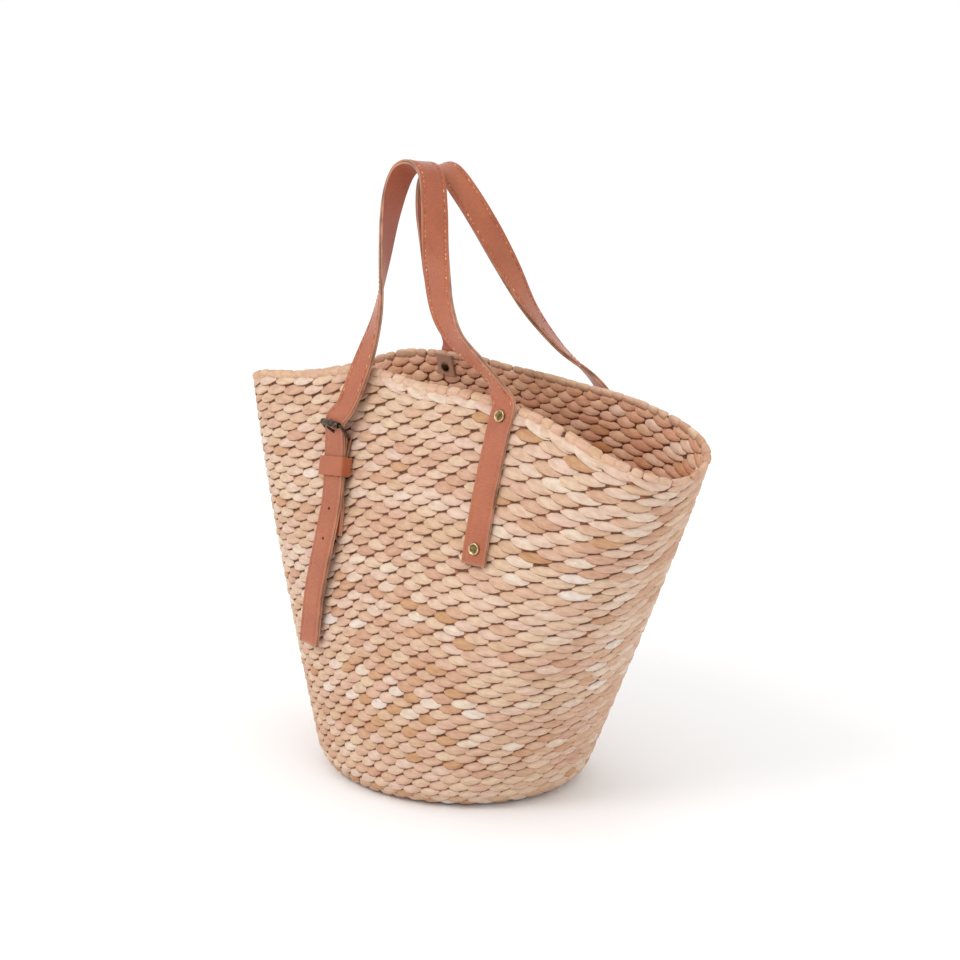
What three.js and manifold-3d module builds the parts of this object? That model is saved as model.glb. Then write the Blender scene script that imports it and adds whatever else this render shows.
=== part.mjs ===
// A straw basket bag: a woven body that is round at the foot and long at the mouth, with two
// leather handles. Each handle is riveted to its wall at one end and buckled to it at the other.
// Millimetres, +Z up. The origin is the middle of the underside, the front wall faces -Y and
// the mouth is long in X.

import * as THREE from 'three';
import { mergeVertices } from 'three/addons/utils/BufferGeometryUtils.js';
import Module from 'manifold-3d';

const wasm = await Module();
wasm.setup();

// Basket
const BASE_RADIUS = 113;
const BASE_EDGE = 19;
const MOUTH_HALF_LENGTH = 237;
const MOUTH_HALF_DEPTH = 61;
const BELLY = 15;
const RIM_HEIGHT = 346;
const WALL = 6;
const RIM_BAND = 6;

// Leather
const LEATHER = 1.7;
const GAP = 0.3;
const SEAT_GAP = 0.6;
const STRAP_WIDTH = 22;
const STRAP_STEP = 16;

// Handles
const FASTENING_SPACING = 167;
const HANDLE_RISE = 170;
const RIVET_DROP = 12.5;
const RIVET_PITCH = 104.5;
const END_MARGIN = 13;
const BUCKLE_DROP = 58;
const TAIL_LENGTH = 175;
const TAIL_SPRING = 5.5;
const HOLE_PITCH = 28.5;
const HOLE_RADIUS = 1.3;
const KEEPER_DROP = 24;
const KEEPER_HEIGHT = 16;
const KEEPER_PLAY = 1;
const KEEPER_CORNER = 2.4;
const ANCHOR_LENGTH = 80;
const ANCHOR_LEAN = 9.5;

// Buckle
const BUCKLE_WIRE = 2.6;
const BUCKLE_SIDE_GAP = 0.5;
const BUCKLE_LENGTH = 17;
const BUCKLE_CORNER = 2;
const BUCKLE_TILT = 55;
const ROLLER_WALL = 1;
const PRONG_WIRE = 2.4;
const PRONG_EYE_WALL = 1.4;
const PRONG_REACH = 18.5;
const SLOT_LENGTH = 5;

// Rivets and the patches behind them
const CAP_RADIUS = 5;
const INNER_CAP_RADIUS = 4.5;
const CAP_HEIGHT = 1.5;
const SHANK_RADIUS = 1.8;
const PATCH_WIDTH = 18;
const PATCH_LENGTH = 19;
const PATCH_GAP = 0.7;

// Facets
const BASKET_TURNS = 58;
const EDGE_STEPS = 3;
const WALL_STEPS = 8;
const WIRE_SIDES = 6;
const ROUND_SIDES = 11;

// Rim height at even steps along the mouth's outline; shares of RIM_HEIGHT
const RIM = [
  { spot: 'right tip', height: 0.873 },
  { spot: 'back right corner', height: 0.943 },
  { spot: 'back right', height: 0.982 },
  { spot: 'back right middle', height: 0.992 },
  { spot: 'back middle', height: 0.998 },
  { spot: 'back left middle', height: 1 },
  { spot: 'back left', height: 0.977 },
  { spot: 'back left corner', height: 0.908 },
  { spot: 'left tip', height: 0.874 },
  { spot: 'front left corner', height: 0.926 },
  { spot: 'front left', height: 0.961 },
  { spot: 'front left middle', height: 1.005 },
  { spot: 'front middle', height: 0.997 },
  { spot: 'front right middle', height: 1.003 },
  { spot: 'front right', height: 0.98 },
  { spot: 'front right corner', height: 0.917 },
];

// How square the mouth is at its tips and along its sides; 1 is an ellipse
const MOUTH_TIP_POWER = 0.4;
const MOUTH_SIDE_POWER = 0.51;

// Section of the rim border, from its top round by the outside;
// in: share of WALL from the outer face, rise: share of RIM_BAND
const BORDER = [
  { in: 0.75, rise: 1 },
  { in: 0.25, rise: 1 },
  { in: 0, rise: 0.6 },
  { in: 0, rise: 0 },
  { in: 1, rise: 0 },
  { in: 1, rise: 0.6 },
];

// The tail of a handle from its tip up to the heel bar, then behind the roller;
// down: share of TAIL_LENGTH, lean: share of STRAP_WIDTH, spring: share of TAIL_SPRING
const TAIL = [
  { down: 1, lean: 0, spring: -0.28 },
  { down: 0.73, lean: 0.13, spring: -0.15 },
  { down: 0.47, lean: 0.36, spring: 0 },
  { down: 0.3, lean: 0.44, spring: 0.06 },
  { down: 0.137, lean: 0.23, spring: 0.1 },
  { down: 0, lean: 0, spring: 0.25 },
  { down: -0.075, lean: 0.01, spring: 0.9 },
];

// The two handles. shift: share of FASTENING_SPACING that the pair of fastenings is off centre.
// leave: where the strap clears the buckle; lean and off: shares of STRAP_WIDTH, up: of BUCKLE_LENGTH.
// arch: the free strap from the buckle over the top to the rivets;
// along: share of FASTENING_SPACING, out: 0 where the strap just clears the middle plane and 1 at
// the mouth's wall, rise: share of HANDLE_RISE above RIM_HEIGHT,
// face: the way across the strap's width, as parts along, out and up.
const SIDES = [
  {
    name: 'front',
    sign: 1,
    turn: Math.PI,
    shift: 0.084,
    leave: { lean: 0.24, up: 1.45, off: 0.48, face: [0.99, 0.09, -0.06] },
    arch: [
      { along: -0.446, out: 1.13, rise: 0.025, face: [1, 0.08, -0.03] },
      { along: -0.453, out: 0.79, rise: 0.265, face: [0.84, 0.45, 0.3] },
      { along: -0.51, out: 0.49, rise: 0.501, face: [0.44, 0.79, 0.43] },
      { along: -0.571, out: 0.19, rise: 0.71, face: [0.05, 0.92, 0.4] },
      { along: -0.583, out: 0.02, rise: 0.852, face: [-0.24, 0.93, 0.28] },
      { along: -0.531, out: 0, rise: 0.953, face: [-0.28, 0.92, 0.27] },
      { along: -0.422, out: 0.03, rise: 0.998, face: [-0.26, 0.96, 0.1] },
      { along: -0.31, out: 0.14, rise: 0.963, face: [-0.36, 0.93, -0.03] },
      { along: -0.253, out: 0.22, rise: 0.825, face: [-0.53, 0.85, -0.02] },
      { along: -0.213, out: 0.29, rise: 0.618, face: [-0.69, 0.72, -0.08] },
      { along: -0.113, out: 0.54, rise: 0.458, face: [-0.78, 0.48, -0.4] },
      { along: 0.037, out: 0.89, rise: 0.335, face: [-0.64, 0.19, -0.74] },
      { along: 0.207, out: 1.09, rise: 0.225, face: [-0.44, -0.38, -0.81] },
      { along: 0.384, out: 1.07, rise: 0.123, face: [-0.52, -0.62, -0.59] },
      { along: 0.455, out: 1.08, rise: 0.05, face: [-0.86, -0.3, -0.4] },
    ],
  },
  {
    name: 'back',
    sign: -1,
    turn: 0,
    shift: -0.003,
    leave: { lean: 0.11, up: 1.48, off: 0.88, face: [0.94, 0.29, -0.2] },
    arch: [
      { along: -0.401, out: 1.42, rise: -0.025, face: [0.77, 0.6, -0.23] },
      { along: -0.262, out: 1.08, rise: 0.114, face: [0.59, 0.81, -0.03] },
      { along: -0.122, out: 0.77, rise: 0.301, face: [0.35, 0.92, 0.18] },
      { along: -0.029, out: 0.5, rise: 0.505, face: [-0.11, 0.91, 0.4] },
      { along: 0.054, out: 0.18, rise: 0.712, face: [-0.44, 0.71, 0.55] },
      { along: 0.157, out: 0, rise: 0.87, face: [-0.38, 0.78, 0.51] },
      { along: 0.274, out: 0, rise: 0.958, face: [-0.29, 0.89, 0.36] },
      { along: 0.379, out: 0.07, rise: 0.964, face: [-0.25, 0.94, 0.24] },
      { along: 0.463, out: 0.2, rise: 0.894, face: [-0.25, 0.95, 0.21] },
      { along: 0.505, out: 0.33, rise: 0.755, face: [-0.26, 0.94, 0.21] },
      { along: 0.509, out: 0.5, rise: 0.561, face: [-0.51, 0.83, 0.22] },
      { along: 0.516, out: 0.7, rise: 0.349, face: [-0.9, 0.43, 0.1] },
      { along: 0.508, out: 0.94, rise: 0.134, face: [-1, -0.06, 0.05] },
      { along: 0.501, out: 1.08, rise: 0.02, face: [-0.99, -0.1, 0.02] },
    ],
  },
];

// Sizes that follow from those above
const STRAP_THICKNESS = 2 * LEATHER + GAP;
const STRAP_SEAT = SEAT_GAP + STRAP_THICKNESS / 2;
const ANCHOR_BACK = SEAT_GAP + LEATHER / 2;
const ANCHOR_PITCH = LEATHER + GAP;
const TAIL_SEAT = SEAT_GAP + 3 * (LEATHER + GAP) + STRAP_THICKNESS / 2;
const HEEL_RADIUS = BUCKLE_WIRE / 2;
const BEND_RADIUS = HEEL_RADIUS + GAP + LEATHER / 2;
const HEEL_OFF = SEAT_GAP + LEATHER + GAP + HEEL_RADIUS;
const FRAME_HALF_WIDTH = STRAP_WIDTH / 2 + BUCKLE_SIDE_GAP + HEEL_RADIUS;
const ROLLER_RADIUS = HEEL_RADIUS + GAP + ROLLER_WALL;
const EYE_RADIUS = HEEL_RADIUS + GAP + PRONG_EYE_WALL;
const TILT = THREE.MathUtils.degToRad(BUCKLE_TILT);
const PRONG_TILT = TILT + Math.asin((ROLLER_RADIUS + GAP + PRONG_WIRE / 2) / BUCKLE_LENGTH);
const SHANK_HOLE = SHANK_RADIUS + GAP;

// Materials
const STRAW = { color: 0xd5ae96, roughness: 0.75, metalness: 0 };
const STRAW_EDGE = { color: 0xd9b8a0, roughness: 0.75, metalness: 0 };
const TAN_LEATHER = { color: 0xc47658, roughness: 0.45, metalness: 0 };
const LINING_LEATHER = { color: 0x96553e, roughness: 0.7, metalness: 0 };
const ANTIQUE_BRASS = { color: 0x8c7a50, roughness: 0.4, metalness: 0.9 };
const DARK_BRONZE = { color: 0x4a4238, roughness: 0.45, metalness: 0.9 };

const vector = (x, y, z) => new THREE.Vector3(x, y, z);
const mix = (from, to, share) => from + (to - from) * share;
const rounded = (value, power) => Math.sign(value) * Math.abs(value) ** power;

// A closed skin over rings of equally many points, each ring counter-clockwise about the way on.
// The two sides of a flat ring fold along the same diagonal, so a twisted strap keeps its wall.
function loft(rings, { looped = false, flat = false } = {}) {
  const count = rings[0].length;
  const points = rings.flat();
  const faces = [];
  const spans = looped ? rings.length : rings.length - 1;
  for (let i = 0; i < spans; i++) {
    const low = i * count;
    const high = ((i + 1) % rings.length) * count;
    for (let j = 0; j < count; j++) {
      const k = (j + 1) % count;
      if (!flat || j < count / 2) faces.push(low + j, low + k, high + k, low + j, high + k, high + j);
      else faces.push(low + j, low + k, high + j, low + k, high + k, high + j);
    }
  }
  if (!looped) {
    const last = (rings.length - 1) * count;
    const start = points.push(middle(rings[0])) - 1;
    const end = points.push(middle(rings.at(-1))) - 1;
    for (let j = 0; j < count; j++) {
      const k = (j + 1) % count;
      faces.push(start, k, j, end, last + j, last + k);
    }
  }
  const geometry = new THREE.BufferGeometry().setFromPoints(points);
  geometry.setIndex(faces);
  return geometry;
}

function middle(ring) {
  const sum = ring.reduce((total, point) => total.add(point), vector(0, 0, 0));
  return sum.divideScalar(ring.length);
}

function ringOf(radius, height, sides = ROUND_SIDES) {
  const ring = [];
  for (let i = 0; i < sides; i++) {
    const angle = (2 * Math.PI * i) / sides;
    ring.push(vector(radius * Math.cos(angle), radius * Math.sin(angle), height));
  }
  return ring;
}

// A round solid about Z over rows of radius and height
const turned = (rows, options) => loft(rows.map(([r, z]) => ringOf(r, z)), options);

function asManifold(geometry) {
  const bare = geometry.clone();
  bare.deleteAttribute('normal');
  bare.deleteAttribute('uv');
  const merged = mergeVertices(bare);
  return new wasm.Manifold(new wasm.Mesh({
    numProp: 3,
    vertProperties: new Float32Array(merged.attributes.position.array),
    triVerts: new Uint32Array(merged.index.array),
  }));
}

function asGeometry(manifold) {
  const { vertProperties, triVerts } = manifold.getMesh();
  const geometry = new THREE.BufferGeometry();
  geometry.setAttribute('position', new THREE.BufferAttribute(vertProperties, 3));
  geometry.setIndex(new THREE.BufferAttribute(triVerts, 1));
  return geometry;
}

const cut = (geometry, tools) =>
  asGeometry(tools.reduce((body, tool) => body.subtract(asManifold(tool)), asManifold(geometry)));
const join = (first, second) => asGeometry(asManifold(first).add(asManifold(second)));

function piece(name, geometry, finish, place = new THREE.Matrix4()) {
  const mesh = new THREE.Mesh(geometry, new THREE.MeshStandardMaterial(finish));
  mesh.name = name;
  place.decompose(mesh.position, mesh.quaternion, mesh.scale);
  return mesh;
}

// The basket's wall

// Shares of the way round the mouth's outline at even turns
function outlineShares(count) {
  const outline = (turn) => new THREE.Vector2(
    MOUTH_HALF_LENGTH * rounded(Math.cos(turn), MOUTH_TIP_POWER),
    MOUTH_HALF_DEPTH * rounded(Math.sin(turn), MOUTH_SIDE_POWER),
  );
  const walked = [0];
  for (let i = 1; i <= count; i++) {
    const from = outline((2 * Math.PI * (i - 1)) / count);
    const to = outline((2 * Math.PI * i) / count);
    walked.push(walked[i - 1] + from.distanceTo(to));
  }
  return walked.map((length) => length / walked[count]);
}

const OUTLINE_STEPS = 1440;
const OUTLINE = outlineShares(OUTLINE_STEPS);

// A smooth height through the rows of RIM, without a seam
function rimHeight(turn) {
  const step = (THREE.MathUtils.euclideanModulo(turn, 2 * Math.PI) / (2 * Math.PI)) * OUTLINE_STEPS;
  const low = Math.floor(step) % OUTLINE_STEPS;
  const place = mix(OUTLINE[low], OUTLINE[low + 1], step - Math.floor(step)) * RIM.length;
  const index = Math.floor(place);
  const share = place - index;
  const [a, b, c, d] = [-1, 0, 1, 2].map((step) => RIM.at((index + step) % RIM.length).height);
  const slope = (c - a) * share;
  const bend = (2 * a - 5 * b + 4 * c - d) * share ** 2;
  const twist = (3 * b - a - 3 * c + d) * share ** 3;
  return RIM_HEIGHT * (b + (slope + bend + twist) / 2);
}

// A point of the wall, at a depth inside its outer face
function wallPoint(turn, height, depth = 0) {
  const climb = height / rimHeight(turn);
  const belly = 4 * BELLY * climb * (1 - climb);
  const halfLength = mix(BASE_RADIUS, MOUTH_HALF_LENGTH, climb);
  const halfDepth = mix(BASE_RADIUS, MOUTH_HALF_DEPTH, climb) + belly;
  const tip = mix(1, MOUTH_TIP_POWER, climb);
  const side = mix(1, MOUTH_SIDE_POWER, climb);
  const cos = Math.cos(turn);
  const sin = Math.sin(turn);
  const normal = new THREE.Vector2(
    rounded(cos, 2 - tip) / (tip * halfLength),
    rounded(sin, 2 - side) / (side * halfDepth),
  ).normalize();
  const edge = BASE_EDGE - depth;
  const fall = 1 - THREE.MathUtils.clamp((height - depth) / edge, 0, 1);
  const inset = depth + edge * (1 - Math.sqrt(1 - fall ** 2));
  return vector(
    halfLength * rounded(cos, tip) - inset * normal.x,
    halfDepth * rounded(sin, side) - inset * normal.y,
    height,
  );
}

// Turns that are spread evenly by the mean of the foot's and the mouth's outlines
function evenTurns(count) {
  const spread = OUTLINE.map((share, i) => (share + i / OUTLINE_STEPS) / 2);
  const turns = [];
  for (let i = 0; i < count; i++) {
    const next = spread.findIndex((share) => share > i / count);
    const rest = (i / count - spread[next - 1]) / (spread[next] - spread[next - 1]);
    turns.push((2 * Math.PI * (next - 1 + rest)) / OUTLINE_STEPS);
  }
  return turns;
}

const TURNS = evenTurns(BASKET_TURNS);
const wallTop = (turn) => rimHeight(turn) - RIM_BAND;

// Heights of the rings up one face of the wall: round the edge of the foot, then up to the top
function wallRings(depth) {
  const edge = BASE_EDGE - depth;
  const rings = [];
  for (let i = 0; i <= EDGE_STEPS; i++) {
    const height = depth + edge * (1 - Math.cos((Math.PI / 2) * (i / EDGE_STEPS)));
    rings.push(TURNS.map((turn) => wallPoint(turn, height, depth)));
  }
  for (let i = 1; i <= WALL_STEPS; i++) {
    rings.push(TURNS.map((turn) => {
      const height = mix(BASE_EDGE, wallTop(turn), i / WALL_STEPS);
      return wallPoint(turn, height, depth);
    }));
  }
  return rings;
}

const basketShell = () => loft([...wallRings(0), ...wallRings(WALL).reverse()]);

function rimBorder() {
  const rings = TURNS.map((turn) => BORDER.map((row) => {
    const height = wallTop(turn) + mix(GAP, RIM_BAND, row.rise);
    return wallPoint(turn, height, row.in * WALL);
  }));
  return loft(rings, { looped: true });
}

// A point of one side's wall by its place along the side
function wallAt(side, along, height, depth = 0) {
  let low = 0;
  let high = Math.PI;
  for (let i = 0; i < 40; i++) {
    const half = (low + high) / 2;
    if (side.sign * wallPoint(side.turn + half, height, depth).x < along) low = half;
    else high = half;
  }
  return wallPoint(side.turn + low, height, depth);
}

// The place of a fitting on a wall: X along the side, Y up the wall and Z out of it
function seat(side, along, height, depth = 0) {
  const at = (a, h) => wallAt(side, along + a, height + h, depth);
  const across = at(1, 0).sub(at(-1, 0)).normalize();
  const out = vector(0, 0, 0).crossVectors(across, at(0, 1).sub(at(0, -1))).normalize();
  const up = vector(0, 0, 0).crossVectors(out, across);
  return new THREE.Matrix4().makeBasis(across, up, out).setPosition(at(0, 0));
}

const within = (place, x, y, z) => vector(x, y, z).applyMatrix4(place);
const axisOf = (place, index) => vector(0, 0, 0).setFromMatrixColumn(place, index);

// Leather

// Sections of a strap along a path of points with the way across at each
function sections(path, step = STRAP_STEP) {
  const line = new THREE.CatmullRomCurve3(path.map((row) => row.point), false, 'centripetal');
  const faces = new THREE.CatmullRomCurve3(path.map((row) => row.face), false, 'catmullrom');
  const spans = path.length - 1;
  const list = [];
  for (let i = 0; i < spans; i++) {
    const steps = Math.ceil(path[i].point.distanceTo(path[i + 1].point) / step);
    for (let k = 0; k < steps; k++) list.push((i + k / steps) / spans);
  }
  return [...list, 1].map((share) => {
    const way = line.getTangent(share);
    const out = vector(0, 0, 0).crossVectors(faces.getPoint(share), way).normalize();
    return { point: line.getPoint(share), across: vector(0, 0, 0).crossVectors(way, out), out };
  });
}

// One layer of leather along the sections; off: from their middle plane to the layer's own
function layer(list, width, off = 0) {
  const corners = [[1, -1], [1, 1], [-1, 1], [-1, -1]];
  const rings = list.map(({ point, across, out }) => corners.map(([over, beside]) => point.clone()
    .addScaledVector(out, off + (over * LEATHER) / 2)
    .addScaledVector(across, (beside * width) / 2)));
  return loft(rings, { flat: true });
}

const buckleAlong = (side) => (side.shift - 0.5) * FASTENING_SPACING;
const rivetAlong = (side) => (side.shift + 0.5) * FASTENING_SPACING;
const heelHeight = RIM_HEIGHT - BUCKLE_DROP;
const rivetHeights = [RIM_HEIGHT - RIVET_DROP, RIM_HEIGHT - RIVET_DROP - RIVET_PITCH];
const strapTop = RIM_HEIGHT - RIM_BAND / 2;
const strapEnd = rivetHeights[1] - END_MARGIN;

// Lean and spring of the tail at a drop below the heel bar
function tailAt(drop) {
  const down = drop / TAIL_LENGTH;
  const next = TAIL.findIndex((row) => row.down <= down);
  const [low, high] = [TAIL[next - 1], TAIL[next]];
  const share = (down - low.down) / (high.down - low.down);
  return {
    lean: STRAP_WIDTH * mix(low.lean, high.lean, share),
    spring: TAIL_SPRING * mix(low.spring, high.spring, share),
  };
}

// Lean of the anchor strap at a drop below the heel bar
const anchorLean = (drop) => (ANCHOR_LEAN * drop) / ANCHOR_LENGTH;

// The whole route of one handle, from the tip of its tail to its riveted end
function handlePath(side) {
  const heel = seat(side, buckleAlong(side), heelHeight);
  const tail = TAIL.map((row) => {
    const off = TAIL_SEAT + row.spring * TAIL_SPRING;
    const along = buckleAlong(side) + row.lean * STRAP_WIDTH;
    const place = seat(side, along, heelHeight - row.down * TAIL_LENGTH);
    return { point: within(place, 0, 0, off), face: axisOf(heel, 0) };
  });
  const turnedFace = ([along, out, up]) => vector(side.sign * along, -side.sign * out, up);
  const { lean, up, off, face } = side.leave;
  const leave = {
    point: within(heel, lean * STRAP_WIDTH, up * BUCKLE_LENGTH, off * STRAP_WIDTH),
    face: turnedFace(face),
  };
  const arch = side.arch.map((row) => {
    const along = (side.shift + row.along) * FASTENING_SPACING;
    const out = mix(STRAP_WIDTH / 2, MOUTH_HALF_DEPTH, row.out);
    return {
      point: vector(side.sign * along, -side.sign * out, RIM_HEIGHT + row.rise * HANDLE_RISE),
      face: turnedFace(row.face),
    };
  });
  // The strap lies flat on the wall below the rim and lifts a little at the rim's edge
  const steps = 7;
  const riveted = [];
  for (let i = 0; i <= steps; i++) {
    const place = seat(side, rivetAlong(side), mix(strapTop, strapEnd, i / steps));
    const lift = i === 0 ? 2 * GAP : 0;
    riveted.push({ point: within(place, 0, 0, STRAP_SEAT + lift), face: axisOf(place, 0).negate() });
  }
  return [...tail, leave, ...arch, ...riveted];
}

// The hairpin that holds the buckle: up the wall, round the heel bar and down again
function anchorPath(side) {
  const heel = seat(side, buckleAlong(side), heelHeight);
  const low = KEEPER_DROP + KEEPER_HEIGHT;
  const behindKeeper = LEATHER + 2 * GAP;
  const leg = [
    { down: ANCHOR_LENGTH, off: 0 },
    { down: mix(ANCHOR_LENGTH, low, 0.5), off: 0 },
    { down: low, off: behindKeeper },
    { down: KEEPER_DROP - KEEPER_HEIGHT / 2, off: behindKeeper },
  ];
  const at = (row, pitch) => {
    const place = seat(side, buckleAlong(side) + anchorLean(row.down), heelHeight - row.down);
    return { point: within(place, 0, 0, ANCHOR_BACK + row.off + pitch) };
  };
  const bend = [];
  const steps = 8;
  for (let i = 0; i <= steps; i++) {
    const angle = (Math.PI * i) / steps;
    const off = HEEL_OFF - BEND_RADIUS * Math.cos(angle);
    bend.push({ point: within(heel, 0, BEND_RADIUS * Math.sin(angle), off) });
  }
  const back = leg.map((row) => at(row, 0));
  const front = leg.map((row) => at(row, ANCHOR_PITCH)).reverse();
  const path = [...back, ...bend, ...front];
  return path.map((row) => ({ ...row, face: axisOf(heel, 0) }));
}

// The loop round the anchor strap and the tail, as wide as the two beside each other
function keeperGeometry() {
  const tail = tailAt(KEEPER_DROP);
  const halfWidth = (STRAP_WIDTH + Math.abs(tail.lean - anchorLean(KEEPER_DROP))) / 2 + KEEPER_PLAY;
  const depth = TAIL_SEAT + tail.spring + STRAP_THICKNESS / 2 + 2 * GAP;
  const outline = (grow, corner) => {
    const x = halfWidth + grow;
    const low = SEAT_GAP + LEATHER - grow;
    const high = depth + grow;
    const shape = new THREE.Path();
    shape.absarc(x - corner, low + corner, corner, -Math.PI / 2, 0);
    shape.absarc(x - corner, high - corner, corner, 0, Math.PI / 2);
    shape.absarc(corner - x, high - corner, corner, Math.PI / 2, Math.PI);
    shape.absarc(corner - x, low + corner, corner, Math.PI, 1.5 * Math.PI);
    return shape;
  };
  const band = new THREE.Shape(outline(LEATHER, KEEPER_CORNER).getPoints(3));
  band.holes.push(outline(0, KEEPER_CORNER - LEATHER));
  const options = { depth: KEEPER_HEIGHT, bevelEnabled: false, curveSegments: 3 };
  const geometry = new THREE.ExtrudeGeometry(band, options);
  // The outline lies across and out of the wall, and the band's height runs up the wall
  geometry.translate(0, 0, -KEEPER_HEIGHT / 2);
  return geometry.rotateX(Math.PI / 2);
}

// Metal

// The bent wire of a buckle, heel bar on X at the origin and the far bar at +Y
function buckleFrame() {
  const corner = BUCKLE_CORNER;
  const x = FRAME_HALF_WIDTH - corner;
  const centres = [
    { x, y: corner, from: -90 },
    { x, y: BUCKLE_LENGTH - corner, from: 0 },
    { x: -x, y: BUCKLE_LENGTH - corner, from: 90 },
    { x: -x, y: corner, from: 180 },
  ];
  const steps = 4;
  const rings = [];
  for (const row of centres) {
    for (let i = 0; i <= steps; i++) {
      const angle = THREE.MathUtils.degToRad(row.from + (90 * i) / steps);
      const outward = vector(Math.cos(angle), Math.sin(angle), 0);
      const centre = vector(row.x, row.y, 0).addScaledVector(outward, corner);
      rings.push(ringOf(HEEL_RADIUS, 0, WIRE_SIDES).map((spot) => centre.clone()
        .addScaledVector(outward, spot.y)
        .add(vector(0, 0, spot.x))));
    }
  }
  return loft(rings, { looped: true });
}

const alongX = () => new THREE.Matrix4().makeRotationY(Math.PI / 2);

function roller() {
  const half = FRAME_HALF_WIDTH - BUCKLE_CORNER - GAP;
  const inner = HEEL_RADIUS + GAP;
  const rows = [[ROLLER_RADIUS, -half], [ROLLER_RADIUS, half], [inner, half], [inner, -half]];
  return turned(rows, { looped: true }).applyMatrix4(alongX());
}

// The prong: an eye round the heel bar and a shank along +Y
function prong() {
  const half = PRONG_WIRE / 2;
  const inner = HEEL_RADIUS + GAP;
  const rows = [[EYE_RADIUS, -half], [EYE_RADIUS, half], [inner, half], [inner, -half]];
  const eye = turned(rows, { looped: true }).applyMatrix4(alongX());
  const start = mix(inner, EYE_RADIUS, 0.5);
  const shank = turned([[half * 0.98, start], [half, PRONG_REACH * 0.8], [half * 0.6, PRONG_REACH]]);
  return join(eye, shank.rotateX(-Math.PI / 2));
}

// A rivet about Z: its inner cap lies under the patch and its outer cap over the leather
function rivetRows(stack) {
  const inside = -WALL - PATCH_GAP - LEATHER - GAP;
  const outside = stack + SEAT_GAP;
  return [
    [INNER_CAP_RADIUS * 0.6, inside - CAP_HEIGHT],
    [INNER_CAP_RADIUS, inside - CAP_HEIGHT * 0.4],
    [INNER_CAP_RADIUS, inside],
    [SHANK_RADIUS, inside],
    [SHANK_RADIUS, outside],
    [CAP_RADIUS, outside],
    [CAP_RADIUS, outside + CAP_HEIGHT * 0.4],
    [CAP_RADIUS * 0.6, outside + CAP_HEIGHT],
  ];
}

function bore(place, radius, from = -2 * WALL, to = STRAP_WIDTH) {
  return turned([[radius, from], [radius, to]]).applyMatrix4(place);
}

// The patch inside the wall under a rivet's inner cap
function patchLayer(side, along, height) {
  const path = [-1, 0, 1].map((end) => {
    const place = seat(side, along, height + (end * PATCH_LENGTH) / 2, WALL);
    const off = -PATCH_GAP - LEATHER / 2;
    return { point: within(place, 0, 0, off), face: axisOf(place, 0) };
  });
  return layer(sections(path, PATCH_LENGTH), PATCH_WIDTH);
}

// The three rivets of a side; stack: how far the leather under the cap stands off the wall
function rivetList(side) {
  const stack = STRAP_SEAT + STRAP_THICKNESS / 2;
  const anchorDrop = ANCHOR_LENGTH - END_MARGIN;
  const anchorHeight = heelHeight - anchorDrop;
  const anchorAlong = buckleAlong(side) + anchorLean(anchorDrop);
  const anchorStack = ANCHOR_BACK + ANCHOR_PITCH + LEATHER / 2;
  return [
    { name: 'upper', along: rivetAlong(side), height: rivetHeights[0], stack },
    { name: 'lower', along: rivetAlong(side), height: rivetHeights[1], stack },
    { name: 'anchor', along: anchorAlong, height: anchorHeight, stack: anchorStack },
  ].map((row) => ({ ...row, place: seat(side, row.along, row.height) }));
}

// The buckle's own frame: X across, Y from the heel bar to the roller
function bucklePlace(side, tilt) {
  const heel = seat(side, buckleAlong(side), heelHeight);
  const turn = new THREE.Matrix4().makeRotationX(tilt);
  const lift = new THREE.Matrix4().makeTranslation(0, 0, HEEL_OFF);
  return heel.multiply(lift).multiply(turn);
}

function handleLayers(side) {
  const list = sections(handlePath(side));
  const shift = (LEATHER + GAP) / 2;
  const holes = rivetList(side).slice(0, 2).map((row) => bore(row.place, SHANK_HOLE));
  const across = PRONG_WIRE + 2 * GAP;
  const reach = BUCKLE_LENGTH * 0.8 - EYE_RADIUS;
  const slot = new THREE.BoxGeometry(across, reach, SLOT_LENGTH);
  slot.translate(0, EYE_RADIUS + reach / 2, 0).applyMatrix4(bucklePlace(side, PRONG_TILT));
  const pricked = [HOLE_PITCH, 2 * HOLE_PITCH].map((drop) => {
    const place = seat(side, buckleAlong(side) + tailAt(drop).lean, heelHeight - drop);
    return bore(place, HOLE_RADIUS, 0);
  });
  const tools = [...holes, slot, ...pricked];
  return {
    face: cut(layer(list, STRAP_WIDTH, shift), tools),
    lining: cut(layer(list, STRAP_WIDTH, -shift), tools),
  };
}

function anchorStrap(side) {
  const strap = layer(sections(anchorPath(side), 2 * STRAP_STEP), STRAP_WIDTH);
  const half = PRONG_WIRE / 2 + GAP;
  const slotRadius = EYE_RADIUS + 2 * GAP;
  const slot = turned([[slotRadius, -half], [slotRadius, half]]).applyMatrix4(alongX());
  const rivet = rivetList(side)[2];
  return cut(strap, [slot.applyMatrix4(bucklePlace(side, 0)), bore(rivet.place, SHANK_HOLE)]);
}

// The keeper stands midway between the two straps that it holds, which lean together
function keeperPlace(side) {
  const lean = (drop) => mix(tailAt(drop).lean, anchorLean(drop), 0.5);
  const place = seat(side, buckleAlong(side) + lean(KEEPER_DROP), heelHeight - KEEPER_DROP);
  const slant = Math.atan2(lean(KEEPER_DROP + KEEPER_HEIGHT) - lean(KEEPER_DROP), KEEPER_HEIGHT);
  return place.multiply(new THREE.Matrix4().makeRotationZ(slant));
}

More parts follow.
